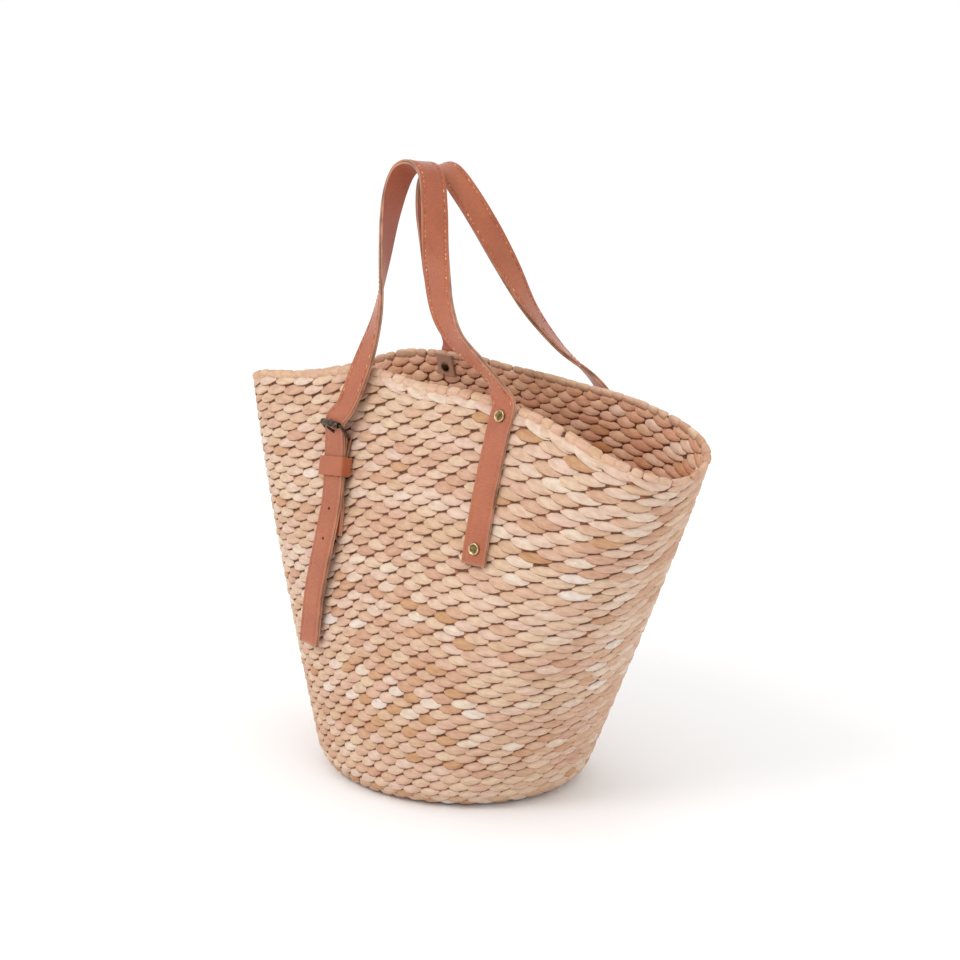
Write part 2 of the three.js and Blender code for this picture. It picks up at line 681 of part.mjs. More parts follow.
function fastenings(side) {
  const group = new THREE.Group();
  const { face, lining } = handleLayers(side);
  const tilted = bucklePlace(side, TILT);
  const far = new THREE.Matrix4().makeTranslation(0, BUCKLE_LENGTH, 0);
  group.add(
    piece(`handle_face_${side.name}`, face, TAN_LEATHER),
    piece(`handle_lining_${side.name}`, lining, LINING_LEATHER),
    piece(`anchor_strap_${side.name}`, anchorStrap(side), TAN_LEATHER),
    piece(`keeper_${side.name}`, keeperGeometry(), TAN_LEATHER, keeperPlace(side)),
    piece(`buckle_frame_${side.name}`, buckleFrame(), DARK_BRONZE, tilted),
    piece(`buckle_roller_${side.name}`, roller(), DARK_BRONZE, tilted.clone().multiply(far)),
    piece(`buckle_prong_${side.name}`, prong(), DARK_BRONZE, bucklePlace(side, PRONG_TILT)),
  );
  for (const rivet of rivetList(side)) {
    const patch = cut(patchLayer(side, rivet.along, rivet.height), [bore(rivet.place, SHANK_HOLE)]);
    group.add(
      piece(`rivet_${rivet.name}_${side.name}`, turned(rivetRows(rivet.stack)), ANTIQUE_BRASS, rivet.place),
      piece(`inner_patch_${rivet.name}_${side.name}`, patch, TAN_LEATHER),
    );
  }
  return group;
}

function basket() {
  const group = new THREE.Group();
  const holes = SIDES.flatMap((side) => rivetList(side).map((row) => bore(row.place, SHANK_HOLE)));
  group.add(
    piece('basket_body', cut(basketShell(), holes), STRAW),
    piece('rim_border', rimBorder(), STRAW_EDGE),
  );
  return group;
}

const bag = new THREE.Group();
bag.add(basket(), ...SIDES.map(fastenings));

export default bag;
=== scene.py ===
# %% [markdown]
# # A straw basket bag
# The bag is a woven basket, round at the foot and long at the mouth, with two leather handles.
# Each handle is riveted to its wall at one end and buckled to the same wall at the other. The
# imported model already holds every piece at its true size, so this lesson adds the surface: the
# strands of the weave, the border, the stitched leather and the aged metal.

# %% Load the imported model
import math

import bmesh
import bpy
import numpy as np
from mathutils import Matrix, Vector


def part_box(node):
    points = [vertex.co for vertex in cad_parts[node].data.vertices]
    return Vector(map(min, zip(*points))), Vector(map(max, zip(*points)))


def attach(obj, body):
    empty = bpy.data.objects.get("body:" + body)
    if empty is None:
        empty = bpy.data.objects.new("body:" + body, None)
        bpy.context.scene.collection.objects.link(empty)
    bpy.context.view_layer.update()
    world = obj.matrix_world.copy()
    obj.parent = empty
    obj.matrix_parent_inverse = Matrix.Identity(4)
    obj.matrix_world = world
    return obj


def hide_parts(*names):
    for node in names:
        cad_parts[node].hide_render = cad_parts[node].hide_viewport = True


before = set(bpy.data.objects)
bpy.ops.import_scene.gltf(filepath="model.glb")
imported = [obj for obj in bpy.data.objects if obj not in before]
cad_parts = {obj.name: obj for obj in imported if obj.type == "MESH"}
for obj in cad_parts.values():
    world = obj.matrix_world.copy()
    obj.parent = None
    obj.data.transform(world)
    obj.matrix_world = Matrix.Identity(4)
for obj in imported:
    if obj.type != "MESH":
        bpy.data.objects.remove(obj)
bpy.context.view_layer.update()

mm = 0.001
chance = np.random.default_rng(7)
print("nodes:", len(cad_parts))

# %% [markdown]
# ## Helpers for pieces
# A finished piece is an object at the origin whose place is in its mesh. Each rides on the one
# body, stands for the nodes that it dresses, and takes the finish that it is given.

# %% Make an object from a mesh, and small vector helpers
def add_piece(name, mesh, finish, stands_for=()):
    piece = bpy.data.objects.new(name, mesh)
    bpy.context.scene.collection.objects.link(piece)
    mesh.materials.clear()
    mesh.materials.append(finish)
    mesh.polygons.foreach_set("use_smooth", [True] * len(mesh.polygons))
    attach(piece, "root")
    if stands_for:
        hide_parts(*stands_for)
    print(name, len(mesh.polygons), "faces")
    return piece


def mesh_of(bm, name):
    mesh = bpy.data.meshes.new(name)
    bm.to_mesh(mesh)
    bm.free()
    return mesh


def unit(rows):
    return rows / np.linalg.norm(rows, axis=-1, keepdims=True)


def srgb(red, green, blue):
    shares = [value / 255 for value in (red, green, blue)]
    return tuple(x / 12.92 if x <= 0.04045 else ((x + 0.055) / 1.055) ** 2.4 for x in shares)


# %% [markdown]
# ## The camera
# The view is a little above the mouth and turned about 42 degrees from the front wall, with a
# long lens and a slight roll. The camera looks at a point on the middle line of the bag, moved
# sideways so that the bag sits where the photo has it.

# %% Place the camera
VIEW_TURN = math.radians(42.53)
VIEW_RISE = math.radians(13.57)
VIEW_ROLL = math.radians(2.55)
VIEW_DISTANCE = 2069.6 * mm
VIEW_SIDESTEP = 12.2 * mm
VIEW_HEIGHT = 253.9 * mm
CAMERA_LENS = 91.78

backward = Vector((math.sin(VIEW_TURN) * math.cos(VIEW_RISE),
                   -math.cos(VIEW_TURN) * math.cos(VIEW_RISE), math.sin(VIEW_RISE)))
rightward = Vector((math.cos(VIEW_TURN), math.sin(VIEW_TURN), 0))
upward = backward.cross(rightward)
rolled_right = rightward * math.cos(VIEW_ROLL) + upward * math.sin(VIEW_ROLL)
rolled_up = upward * math.cos(VIEW_ROLL) - rightward * math.sin(VIEW_ROLL)
target = Vector((0, 0, VIEW_HEIGHT)) + rightward * VIEW_SIDESTEP

camera_data = bpy.data.cameras.new("camera")
camera_data.lens = CAMERA_LENS
camera_data.clip_end = 100
camera = bpy.data.objects.new("camera", camera_data)
bpy.context.scene.collection.objects.link(camera)
camera.matrix_world = Matrix.Translation(target + backward * VIEW_DISTANCE) @ Matrix(
    (rolled_right, rolled_up, backward)).transposed().to_4x4()
bpy.context.scene.camera = camera
print("camera at", [round(value, 3) for value in camera.matrix_world.translation])

# %% [markdown]
# ## Floor and light
# A studio sweep is nearly white and the light comes from everywhere, with a little more from
# the left of the view. A bright sky does most of it, and one large lamp gives the strands their
# soft shade.

# %% Lay the floor and set the lights
FLOOR_SIZE = 60
floor_bm = bmesh.new()
bmesh.ops.create_grid(floor_bm, x_segments=1, y_segments=1, size=FLOOR_SIZE)
floor = bpy.data.objects.new("floor", mesh_of(floor_bm, "floor"))
bpy.context.scene.collection.objects.link(floor)


def lamp(name, place, size, watts):
    data = bpy.data.lights.new(name, "AREA")
    data.size = size
    data.energy = watts
    light = bpy.data.objects.new(name, data)
    bpy.context.scene.collection.objects.link(light)
    light.location = place
    light.rotation_euler = (target - Vector(place)).to_track_quat("-Z", "Y").to_euler()


SKY_STRENGTH = 1.04
lamp("key_lamp", target + backward * 1.6 - rightward * 1.9 + Vector((0, 0, 1.7)), 1.4, 32)
lamp("fill_lamp", target + backward * 1.2 + rightward * 2.2 + Vector((0, 0, 1.2)), 1.8, 2)

world = bpy.data.worlds.new("studio")
bpy.context.scene.world = world
world.use_nodes = True
world.node_tree.nodes["Background"].inputs["Color"].default_value = (1, 1, 1, 1)
world.node_tree.nodes["Background"].inputs["Strength"].default_value = SKY_STRENGTH
bpy.context.scene.view_settings.view_transform = "Standard"

# %% [markdown]
# ## Helpers for finishes
# Every finish is a small graph of nodes. One helper adds a node, sets its properties and fills
# its inputs, either with a value or with a link from another node's output.

# %% Start a material and add nodes to it
def start_finish(name, roughness, metallic=0.0):
    finish = bpy.data.materials.new(name)
    finish.use_nodes = True
    tree = finish.node_tree
    shader = tree.nodes["Principled BSDF"]
    shader.inputs["Roughness"].default_value = roughness
    shader.inputs["Metallic"].default_value = metallic
    return finish, tree, shader


def fill(tree, node, inputs):
    for key, value in inputs.items():
        if isinstance(value, bpy.types.NodeSocket):
            tree.links.new(value, node.inputs[key])
        else:
            node.inputs[key].default_value = value


def add_node(tree, kind, inputs=None, **settings):
    node = tree.nodes.new("ShaderNode" + kind)
    for key, value in settings.items():
        setattr(node, key, value)
    fill(tree, node, inputs or {})
    return node


def ramp(tree, factor, stops):
    node = add_node(tree, "ValToRGB", {"Fac": factor})
    elements = node.color_ramp.elements
    while len(elements) < len(stops):
        elements.new(1)
    for element, (place, colour) in zip(elements, stops):
        element.position = place
        element.color = (*colour, 1)
    return node.outputs["Color"]


def blend_colours(tree, factor, first, second, mode="MIX"):
    node = add_node(tree, "Mix", data_type="RGBA", blend_type=mode)
    for index, value in ((0, factor), (6, first), (7, second)):
        if isinstance(value, bpy.types.NodeSocket):
            tree.links.new(value, node.inputs[index])
        else:
            node.inputs[index].default_value = value if index == 0 else (*value, 1)
    return node.outputs[2]


def grain(tree, vector, scale, detail=2.0, roughness=0.5):
    inputs = {"Vector": vector, "Scale": scale, "Detail": detail, "Roughness": roughness}
    return add_node(tree, "TexNoise", inputs).outputs["Fac"]


def stretched(tree, vector, scales):
    return add_node(tree, "Mapping", {"Vector": vector, "Scale": scales}).outputs["Vector"]


def bumped(tree, shader, height, distance, strength=1.0):
    inputs = {"Height": height, "Distance": distance, "Strength": strength}
    bump = add_node(tree, "Bump", inputs)
    tree.links.new(bump.outputs["Normal"], shader.inputs["Normal"])


# %% [markdown]
# ## The straw
# Each strand is a flat dried leaf, folded lengthwise and twisted. Leaves differ in colour from
# cream through pinkish tan to ochre, so every loop of strand carries its own tone as an
# attribute. Fine fibres run along the leaf, drawn on the strand's own UV map. Where a loop dives
# under its neighbours it is darkened with painted shade, which another attribute marks.

# %% Mix the straw finishes
def straw_finish(name, stops, painted_light=(1, 1, 1)):
    finish, tree, shader = start_finish(name, 0.62)
    tone = add_node(tree, "Attribute", attribute_name="tone").outputs["Fac"]
    uv = add_node(tree, "UVMap", uv_map="strand").outputs["UV"]
    fibres = grain(tree, stretched(tree, uv, (60, 1500, 1)), 1.0, 3.0)
    blotches = grain(tree, stretched(tree, uv, (110, 260, 1)), 1.0, 2.0)
    leaf = ramp(tree, tone, stops)
    streaked = blend_colours(tree, 0.28, leaf, ramp(tree, fibres, [
        (0.3, srgb(150, 105, 80)), (0.5, srgb(222, 183, 158)), (0.72, srgb(245, 226, 208))]), "SOFT_LIGHT")
    faded = ramp(tree, blotches, [(0.35, srgb(214, 196, 186)), (0.6, (1, 1, 1))])
    colour = blend_colours(tree, 0.45, streaked, faded, "MULTIPLY")
    # The painted light factor darkens the outside straw and keeps the inside copy lighter, against the
    # shade inside the basket.
    colour = blend_colours(tree, 1.0, colour, painted_light, "MULTIPLY")
    # Painted shade: corners round the back of a loop, where it dives under its neighbours, are darkened
    # and browned.
    tuck_shade = add_node(tree, "Attribute", attribute_name="tuck_shade").outputs["Fac"]
    colour = blend_colours(tree, 1.0, colour, ramp(tree, tuck_shade, [
        (0.6, (1, 1, 1)), (1.0, srgb(178, 138, 116))]), "MULTIPLY")
    tree.links.new(colour, shader.inputs["Base Color"])
    shader.inputs["Specular IOR Level"].default_value = 0.35
    bumped(tree, shader, fibres, 0.35 * mm, 0.55)
    return finish


LEAF_STOPS = [
    (0.0, srgb(200, 148, 104)),
    (0.12, srgb(211, 161, 122)),
    (0.24, srgb(213, 164, 137)),
    (0.36, srgb(222, 181, 148)),
    (0.48, srgb(222, 176, 151)),
    (0.6, srgb(231, 195, 164)),
    (0.72, srgb(230, 190, 168)),
    (0.86, srgb(237, 208, 184)),
    (1.0, srgb(240, 217, 202)),
]
# Painted light: the inside copy gets a lighter factor than the outside ones to make up for the shade
# inside the basket; the outside factors also make the straw less orange.
straw = straw_finish("straw", LEAF_STOPS, (0.8, 0.885, 0.945))
straw_inside_lightened = straw_finish("straw_inside_lightened", LEAF_STOPS, (1.0, 0.98, 0.96))
straw_border = straw_finish("straw_border", LEAF_STOPS, (0.82, 0.89, 0.93))


def shadow_straw():
    # Painted shade: the core is dark brown because it shows only deep in the gaps between loops.
    finish, tree, shader = start_finish("straw_core", 0.9)
    place = add_node(tree, "TexCoord").outputs["Object"]
    colour = ramp(tree, grain(tree, place, 240), [(0.3, srgb(80, 48, 34)), (0.7, srgb(122, 82, 60))])
    tree.links.new(colour, shader.inputs["Base Color"])
    return finish


def pale_floor():
    finish, tree, shader = start_finish("pale_floor", 0.9)
    place = add_node(tree, "TexCoord").outputs["Object"]
    colour = ramp(tree, grain(tree, place, 3), [(0.3, (0.955, 0.955, 0.955)), (0.7, (0.97, 0.97, 0.97))])
    tree.links.new(colour, shader.inputs["Base Color"])
    return finish


straw_core = shadow_straw()
floor.data.materials.append(pale_floor())
print("straw finishes:", [finish.name for finish in (straw, straw_inside_lightened, straw_border, straw_core)])

# %% [markdown]
# ## The form of the basket
# The wall starts on a round foot with a rounded edge and grows into a long mouth, with a slight
# belly between. The rim dips to the two tips and rises in the middle of each side. One function
# gives a point of the wall from its turn about the middle line, its run up the wall and its depth
# below the outer face, so strands can be laid on it like on a map.

# %% Describe the wall
FOOT_RADIUS = 113 * mm
FOOT_EDGE = 19 * mm
MOUTH_HALF_LENGTH = 237 * mm
MOUTH_HALF_DEPTH = 61 * mm
BELLY = 15 * mm
RIM_HEIGHT = 346 * mm
WALL = 6 * mm
MOUTH_TIP_POWER = 0.4
MOUTH_SIDE_POWER = 0.51
RIM_SHARES = {
    "right tip": 0.873, "back right corner": 0.943, "back right": 0.982,
    "back right middle": 0.992, "back middle": 0.998, "back left middle": 1.0,
    "back left": 0.977, "back left corner": 0.908, "left tip": 0.874,
    "front left corner": 0.926, "front left": 0.961, "front left middle": 1.005,
    "front middle": 0.997, "front right middle": 1.003, "front right": 0.98,
    "front right corner": 0.917,
}
EDGE_RUN = FOOT_EDGE * math.pi / 2
FULL_RUN = EDGE_RUN + RIM_HEIGHT - FOOT_EDGE
print("run up the wall:", round(FULL_RUN, 3))


def rounded(values, power):
    return np.sign(values) * np.abs(values) ** power


# %% Space turns along the mouth
# The turns crowd where the mouth's outline runs fastest
quarter = 1 - (1 - np.linspace(0, 1, 601) ** 2) ** 3
quarter = quarter[:-1] * math.pi / 2
TURNS = np.concatenate([quarter, math.pi - quarter[::-1], math.pi + quarter,
                        2 * math.pi - quarter[::-1]])
TURNS = np.unique(np.concatenate([TURNS, [math.pi / 2, 3 * math.pi / 2, 2 * math.pi]]))


def shares_along(points):
    steps = np.linalg.norm(np.diff(points, axis=0), axis=1)
    walked = np.concatenate([[0], np.cumsum(steps)])
    return walked / walked[-1], walked[-1]


mouth_line = np.stack([MOUTH_HALF_LENGTH * rounded(np.cos(TURNS), MOUTH_TIP_POWER),
                       MOUTH_HALF_DEPTH * rounded(np.sin(TURNS), MOUTH_SIDE_POWER)], -1)
MOUTH_SHARES, mouth_length = shares_along(mouth_line)
print("length of the mouth's outline:", round(float(mouth_length), 3))


# %% Give a point of the wall
def rim_height(turn):
    heights = np.array(list(RIM_SHARES.values()))
    place = np.interp(np.mod(turn, 2 * math.pi), TURNS, MOUTH_SHARES) * len(heights)
    index = np.floor(place).astype(int)
    share = place - index
    a, b, c, d = (heights[(index + step) % len(heights)] for step in (-1, 0, 1, 2))
    bend = (2 * a - 5 * b + 4 * c - d) * share ** 2
    twist = (3 * b - a - 3 * c + d) * share ** 3
    return RIM_HEIGHT * (b + ((c - a) * share + bend + twist) / 2)


def wall_point(turn, run, depth):
    top = rim_height(turn)
    edge = FOOT_EDGE - depth
    bend = np.clip(run / EDGE_RUN, 0, 1) * math.pi / 2
    stretch = (top - FOOT_EDGE) / (RIM_HEIGHT - FOOT_EDGE)
    height = depth + edge * (1 - np.cos(bend)) + np.maximum(run - EDGE_RUN, 0) * stretch
    climb = height / top
    half_length = FOOT_RADIUS + (MOUTH_HALF_LENGTH - FOOT_RADIUS) * climb
    half_depth = FOOT_RADIUS + (MOUTH_HALF_DEPTH - FOOT_RADIUS) * climb
    half_depth = half_depth + 4 * BELLY * climb * (1 - climb)
    tip = 1 + (MOUTH_TIP_POWER - 1) * climb
    side = 1 + (MOUTH_SIDE_POWER - 1) * climb
    cos, sin = np.cos(turn), np.sin(turn)
    normal = unit(np.stack([rounded(cos, 2 - tip) / (tip * half_length),
                            rounded(sin, 2 - side) / (side * half_depth)], -1))
    inset = depth + edge * (1 - np.sin(bend))
    return np.stack([half_length * rounded(cos, tip) - inset * normal[..., 0],
                     half_depth * rounded(sin, side) - inset * normal[..., 1], height], -1)


print("middle of the front rim:", wall_point(1.5 * math.pi, FULL_RUN, 0.0).round(3))

# %% Tabulate turns that are evenly spaced along the wall at each level
LEVELS = np.linspace(0, FULL_RUN, 60)
SHARES = np.linspace(0, 1, 721)
turn_rows = []
girth_rows = []
for level in LEVELS:
    shares, length = shares_along(wall_point(TURNS, level, 0.0))
    turn_rows.append(np.interp(SHARES, shares, TURNS))
    girth_rows.append(length)
TURN_TABLE = np.array(turn_rows)


def turn_at(share, run):
    column = np.mod(share, 1) * (len(SHARES) - 1)
    row = np.clip(run / FULL_RUN, 0, 1) * (len(LEVELS) - 1)
    left = np.minimum(np.floor(column).astype(int), len(SHARES) - 2)
    low = np.minimum(np.floor(row).astype(int), len(LEVELS) - 2)
    x, y = column - left, row - low
    under = TURN_TABLE[low, left] * (1 - x) + TURN_TABLE[low, left + 1] * x
    over = TURN_TABLE[low + 1, left] * (1 - x) + TURN_TABLE[low + 1, left + 1] * x
    return under * (1 - y) + over * y


def girth(run):
    return np.interp(run, LEVELS, girth_rows)


print("girth of foot and mouth:", round(girth_rows[0], 3), round(girth_rows[-1], 3))

# %% [markdown]
# ## One loop of strand
# Where a strand passes over a stake it shows as a pointed lens, fat in the middle, with both
# tips diving under its neighbours. A low sphere with its poles along the strand has the right
# faces. It is flattened and pointed once, and then copied thousands of times as arrays.

# %% Shape the lens
def lens_template(around, along):
    bm = bmesh.new()
    bmesh.ops.create_uvsphere(bm, u_segments=around, v_segments=along, radius=1)
    bmesh.ops.rotate(bm, verts=bm.verts, matrix=Matrix.Rotation(math.pi / 2, 3, "Y"))
    bmesh.ops.recalc_face_normals(bm, faces=bm.faces)
    bm.verts.index_update()
    points = np.array([vert.co[:] for vert in bm.verts])
    faces = [[vert.index for vert in face.verts] for face in bm.faces]
    bm.free()
    return points, faces


LENS = lens_template(8, 8)
FINE_LENS = lens_template(10, 10)
print("faces of one lens:", len(LENS[1]), "and of a fine one:", len(FINE_LENS[1]))


def tuck_shades_of(template):
    """How far round the back of the shape each corner is: 0 on its crest, 1 at its edges, where painted
    shade darkens the straw.
    """
    return 1 - np.clip(template[0][:, 2], 0, 1)


def add_attribute(mesh, name, values):
    attribute = mesh.attributes.new(name, "FLOAT", "POINT")
    attribute.data.foreach_set("value", values.astype(np.float32))


def joined_mesh(name, points, faces, uvs, tones, tuck_shades):
    """Many copies of one small shape as a mesh: points is copies x corners x 3."""
    copies, corners = points.shape[:2]
    sizes = np.array([len(face) for face in faces])
    flat = np.concatenate([np.array(face) for face in faces])
    loops = (np.arange(copies)[:, None] * corners + flat[None]).ravel()
    mesh = bpy.data.meshes.new(name)
    mesh.vertices.add(copies * corners)
    mesh.vertices.foreach_set("co", points.astype(np.float32).ravel())
    mesh.loops.add(len(loops))
    mesh.loops.foreach_set("vertex_index", loops.astype(np.int32))
    mesh.polygons.add(copies * len(faces))
    all_sizes = np.tile(sizes, copies)
    starts = np.concatenate([[0], np.cumsum(all_sizes)[:-1]])
    mesh.polygons.foreach_set("loop_start", starts.astype(np.int32))
    mesh.update(calc_edges=True)
    layer = mesh.uv_layers.new(name="strand")
    layer.data.foreach_set("uv", uvs.reshape(-1, 2)[loops].astype(np.float32).ravel())
    add_attribute(mesh, "tone", np.repeat(tones, corners))
    add_attribute(mesh, "tuck_shade", np.tile(tuck_shades, copies))
    mesh.validate()
    return mesh


# %% [markdown]
# ## The weave
# Pairs of strands twist round the stakes, row over row, and each row starts half a loop on from
# the one below. One leaf lasts several loops before the next is added, and the two strands of a
# pair take turns, so tones change in runs and every other loop. All loops lean the same way, most
# in the middle of each side and least near the left tip, as the wall was pulled into its shape.

# %% Plan the rows
STAKES = 44
WIDER_AT_TIPS = 0.14
ROW_STEP = 7.45 * mm
WOVEN_RUN = FULL_RUN - 5 * mm
ROWS = int(WOVEN_RUN / ROW_STEP)
LEAN = {
    "right tip": 0.42, "back right": 0.36, "back middle": 0.43, "back left": 0.36,
    "left tip": 0.26, "front left": 0.22, "front left middle": 0.36, "front middle": 0.44,
    "front right": 0.38, "front right corner": 0.36,
}
LEAN_PLACES = [0.0, 0.125, 0.25, 0.375, 0.5, 0.6, 0.68, 0.76, 0.86, 0.95]


def lean_at(share):
    values = list(LEAN.values())
    return np.interp(np.mod(share, 1), LEAN_PLACES + [1.0], values + values[:1])


def leaf_tones(count):
    """Tones of one row: two strands take turns, and each changes leaf after a few loops."""
    tones = np.zeros(count)
    for strand in (0, 1):
        place = strand
        while place < count:
            run_length = int(chance.integers(1, 5))
            tone = chance.beta(2.6, 2.5)
            tones[place:place + 2 * run_length:2] = tone
            place += 2 * run_length
    return np.clip(tones + chance.normal(0, 0.05, count), 0, 1)


def row_plan(rows, per_row, run_of, pale_rows=()):
    shares, runs, tones = [], [], []
    for row in rows:
        offset = 0.5 * (row % 2) + 0.05 * math.sin(row * 0.9)
        place = (np.arange(per_row) + offset + chance.normal(0, 0.03, per_row)) / per_row
        place = place + WIDER_AT_TIPS / (4 * math.pi) * np.sin(4 * math.pi * place)
        row_tones = leaf_tones(per_row)
        if row in pale_rows:
            row_tones = np.clip(row_tones * 0.5 + 0.42, 0, 1)
        shares.append(place)
        runs.append(np.full(per_row, run_of(row)) + 0.25 * mm * np.sin(place * 40 + row))
        tones.append(row_tones)
    return np.concatenate(shares), np.concatenate(runs), np.concatenate(tones)


# %% Set the size of a loop
LOOP_REACH = 0.66
LOOP_RISE = 0.645
LOOP_BULGE = 1.7 * mm
TIP_DIVE = 1.7 * mm
TIP_UNDER = 0.45 * mm
TILT_OUT = 1.0 * mm
TIP_CURL = 0.1
LEAN_SLOPE = 0.42
INSIDE_LEAN = -0.4
LOOP_SHARPNESS = 3.0
print("height of a loop:", round(2 * ROW_STEP * LOOP_RISE, 4))


def varied(count, spread, most):
    return np.clip(chance.normal(1, spread, (count, 1)), 1 - most, 1 + most)


# %% Shape a loop on a flat wall
def end_shape(along, power, most):
    """How far a lens is drawn in or filled out at each place along it."""
    waist = np.sqrt(np.maximum(1 - along ** 2, 1e-6))
    return np.clip((1 - np.abs(along) ** power) / waist, 0, most)


def loop_shape(template, half_length, half_height, lean):
    """Places along, up and into the wall for each corner of each loop."""
    along, up, out = (template[0][None, :, axis] for axis in range(3))
    slim = end_shape(along, LOOP_SHARPNESS, 1.3)
    count = len(half_length)
    skew = chance.normal(0, 0.06, (count, 1))
    p = along * half_length + up * slim * half_height * skew
    q = up * slim * half_height + along * lean * half_length * LEAN_SLOPE
    q = q + TIP_CURL * half_height * along ** 2
    dive = TIP_DIVE * along ** 2 + TIP_UNDER * along
    d = LOOP_BULGE * (1 - out * slim) + dive + TILT_OUT * up * slim
    return p, q, d + chance.normal(0, 0.07 * mm, (count, 1))


def strand_uvs(p, q):
    return np.stack([p, q], -1) + chance.uniform(0, 1, (len(p), 1, 2))


# %% Lay loops on the map of the wall
def lay_loops(plan, per_row, inside=False, template=LENS, fat=1.0, reach=LOOP_REACH):
    shares, runs, tones = plan
    count = len(shares)
    half_length = (girth(runs) / per_row)[:, None] * reach * varied(count, 0.05, 0.12)
    half_length = half_length * (1 + WIDER_AT_TIPS * np.cos(4 * math.pi * shares))[:, None]
    half_height = ROW_STEP * LOOP_RISE * fat * varied(count, 0.06, 0.14)
    lean = lean_at(shares)[:, None] + chance.normal(0, 0.04, (count, 1))
    p, q, d = loop_shape(template, half_length, half_height, INSIDE_LEAN * lean if inside else lean)
    d = np.clip(d, -0.25 * mm, WALL - 0.4 * mm)
    share = shares[:, None] + p / girth(runs)[:, None]
    run = np.clip(runs[:, None] + q, 0.2 * mm, FULL_RUN - 1.2 * mm)
    points = wall_point(turn_at(share, run), run, WALL - d if inside else d)
    points[..., 2] = np.maximum(points[..., 2], 0)
    faces = [face[::-1] for face in template[1]] if inside else template[1]
    return points, faces, strand_uvs(p, q), tones, tuck_shades_of(template)


def weave_piece(name, finish, slot, plan, per_row, stands_for=(), **options):
    mesh = joined_mesh(name, *lay_loops(plan, per_row, **options))
    return add_piece(name, mesh, finish, stands_for)


def row_run(row):
    return (row + 0.5) * WOVEN_RUN / ROWS


# %% Weave both faces of the wall
PALE_ROWS = (26, 27, ROWS - 1)
KNOTS = 54
half = ROWS // 2
weave_piece("weave_lower", straw, "straw_weave",
            row_plan(range(0, half), STAKES, row_run, PALE_ROWS), STAKES)
weave_piece("weave_upper", straw, "straw_weave",
            row_plan(range(half, ROWS), STAKES, row_run, PALE_ROWS), STAKES)
weave_piece("weave_inside_lower", straw_inside_lightened, "straw_weave",
            row_plan(range(2, half), STAKES, row_run), STAKES, inside=True)
weave_piece("weave_inside_upper", straw_inside_lightened, "straw_weave",
            row_plan(range(half, ROWS - 3), STAKES, row_run), STAKES, inside=True)
weave_piece("weave_inside_knots", straw_inside_lightened, "straw_weave",
            row_plan(range(ROWS - 3, ROWS), KNOTS, row_run), KNOTS, inside=True, fat=1.1, reach=0.64)

# %% [markdown]
# ## The core of the wall
# Between the loops of the two faces lie the stakes, in deep shade. A thin closed shell in the
# middle of the wall stands for them, so no light leaks through, and its dark brown is painted
# shade. A grid is wrapped round the basket up one face and down the other.

# %% Wrap the core
CORE_OUTER = 2.3 * mm
CORE_INNER = 3.9 * mm
CORE_STEPS = 240
rows_up = np.linspace(0.0, FULL_RUN - 3 * mm, 70)


def core_mesh():
    rows = [(run, CORE_OUTER) for run in rows_up] + [(run, CORE_INNER) for run in rows_up[::-1]]
    bm = bmesh.new()
    bmesh.ops.create_grid(bm, x_segments=CORE_STEPS, y_segments=len(rows) - 1, size=1)
    coords = np.array([vert.co[:] for vert in bm.verts])
    share = (coords[:, 0] + 1) / 2
    index = np.rint((coords[:, 1] + 1) / 2 * (len(rows) - 1)).astype(int)
    table = np.array(rows)
    points = wall_point(turn_at(share, table[index, 0]), table[index, 0], table[index, 1])
    for vert, point in zip(bm.verts, points):
        vert.co = point
    bmesh.ops.remove_doubles(bm, verts=bm.verts, dist=1e-5)
    bmesh.ops.holes_fill(bm, edges=bm.edges, sides=0)
    bmesh.ops.recalc_face_normals(bm, faces=bm.faces)
    return mesh_of(bm, "basket_core")


add_piece("basket_core", core_mesh(), straw_core, ["basket_body"])

# %% [markdown]
# ## The last row
# Just under the border on the front, the strand ends in a few long pale leaves that lean towards
# the right tip. They are wider spaced loops, laid a little prouder than the rest.

# %% Lay the long pale leaves
PALE_LEAVES = 42
PALE_FROM, PALE_TO = 0.7, 0.97
PALE_DROP = 9.5 * mm
PALE_REACH = 0.62
PALE_RISE = 0.5
PALE_LEAN = -0.42
PALE_PROUD = 0.5 * mm


def pale_leaves():
    shares = np.arange(PALE_FROM, PALE_TO, 1 / PALE_LEAVES)
    shares = shares + chance.normal(0, 0.001, len(shares))
    runs = np.full(len(shares), FULL_RUN - PALE_DROP) + chance.normal(0, 0.3 * mm, len(shares))
    tones = np.clip(chance.normal(0.82, 0.1, len(shares)), 0, 1)
    count = len(shares)
    half_length = (girth(runs) / PALE_LEAVES)[:, None] * PALE_REACH * varied(count, 0.1, 0.2)
    half_height = ROW_STEP * PALE_RISE * varied(count, 0.08, 0.15)
    lean = chance.normal(PALE_LEAN, 0.06, (count, 1))
    p, q, d = loop_shape(FINE_LENS, half_length, half_height, lean)
    d = np.clip(d - PALE_PROUD, -PALE_PROUD, WALL)
    share = shares[:, None] + p / girth(runs)[:, None]
    run = np.clip(runs[:, None] + q, 0, FULL_RUN - 1.5 * mm)
    points = wall_point(turn_at(share, run), run, d)
    return points, FINE_LENS[1], strand_uvs(p, q), tones, tuck_shades_of(FINE_LENS)


add_piece("weave_pale_leaves", joined_mesh("weave_pale_leaves", *pale_leaves()), straw)

# %% [markdown]
# ## The foot
# The weave starts in the middle of the foot and goes round in rings, so the underside and the
# floor inside show rings of the same loops. They are laid on a flat disc from the middle out.

# %% Weave the foot
FLAT_RADIUS = FOOT_RADIUS - FOOT_EDGE
RING_PITCH = 15 * mm
RING_LEAN = 0.15


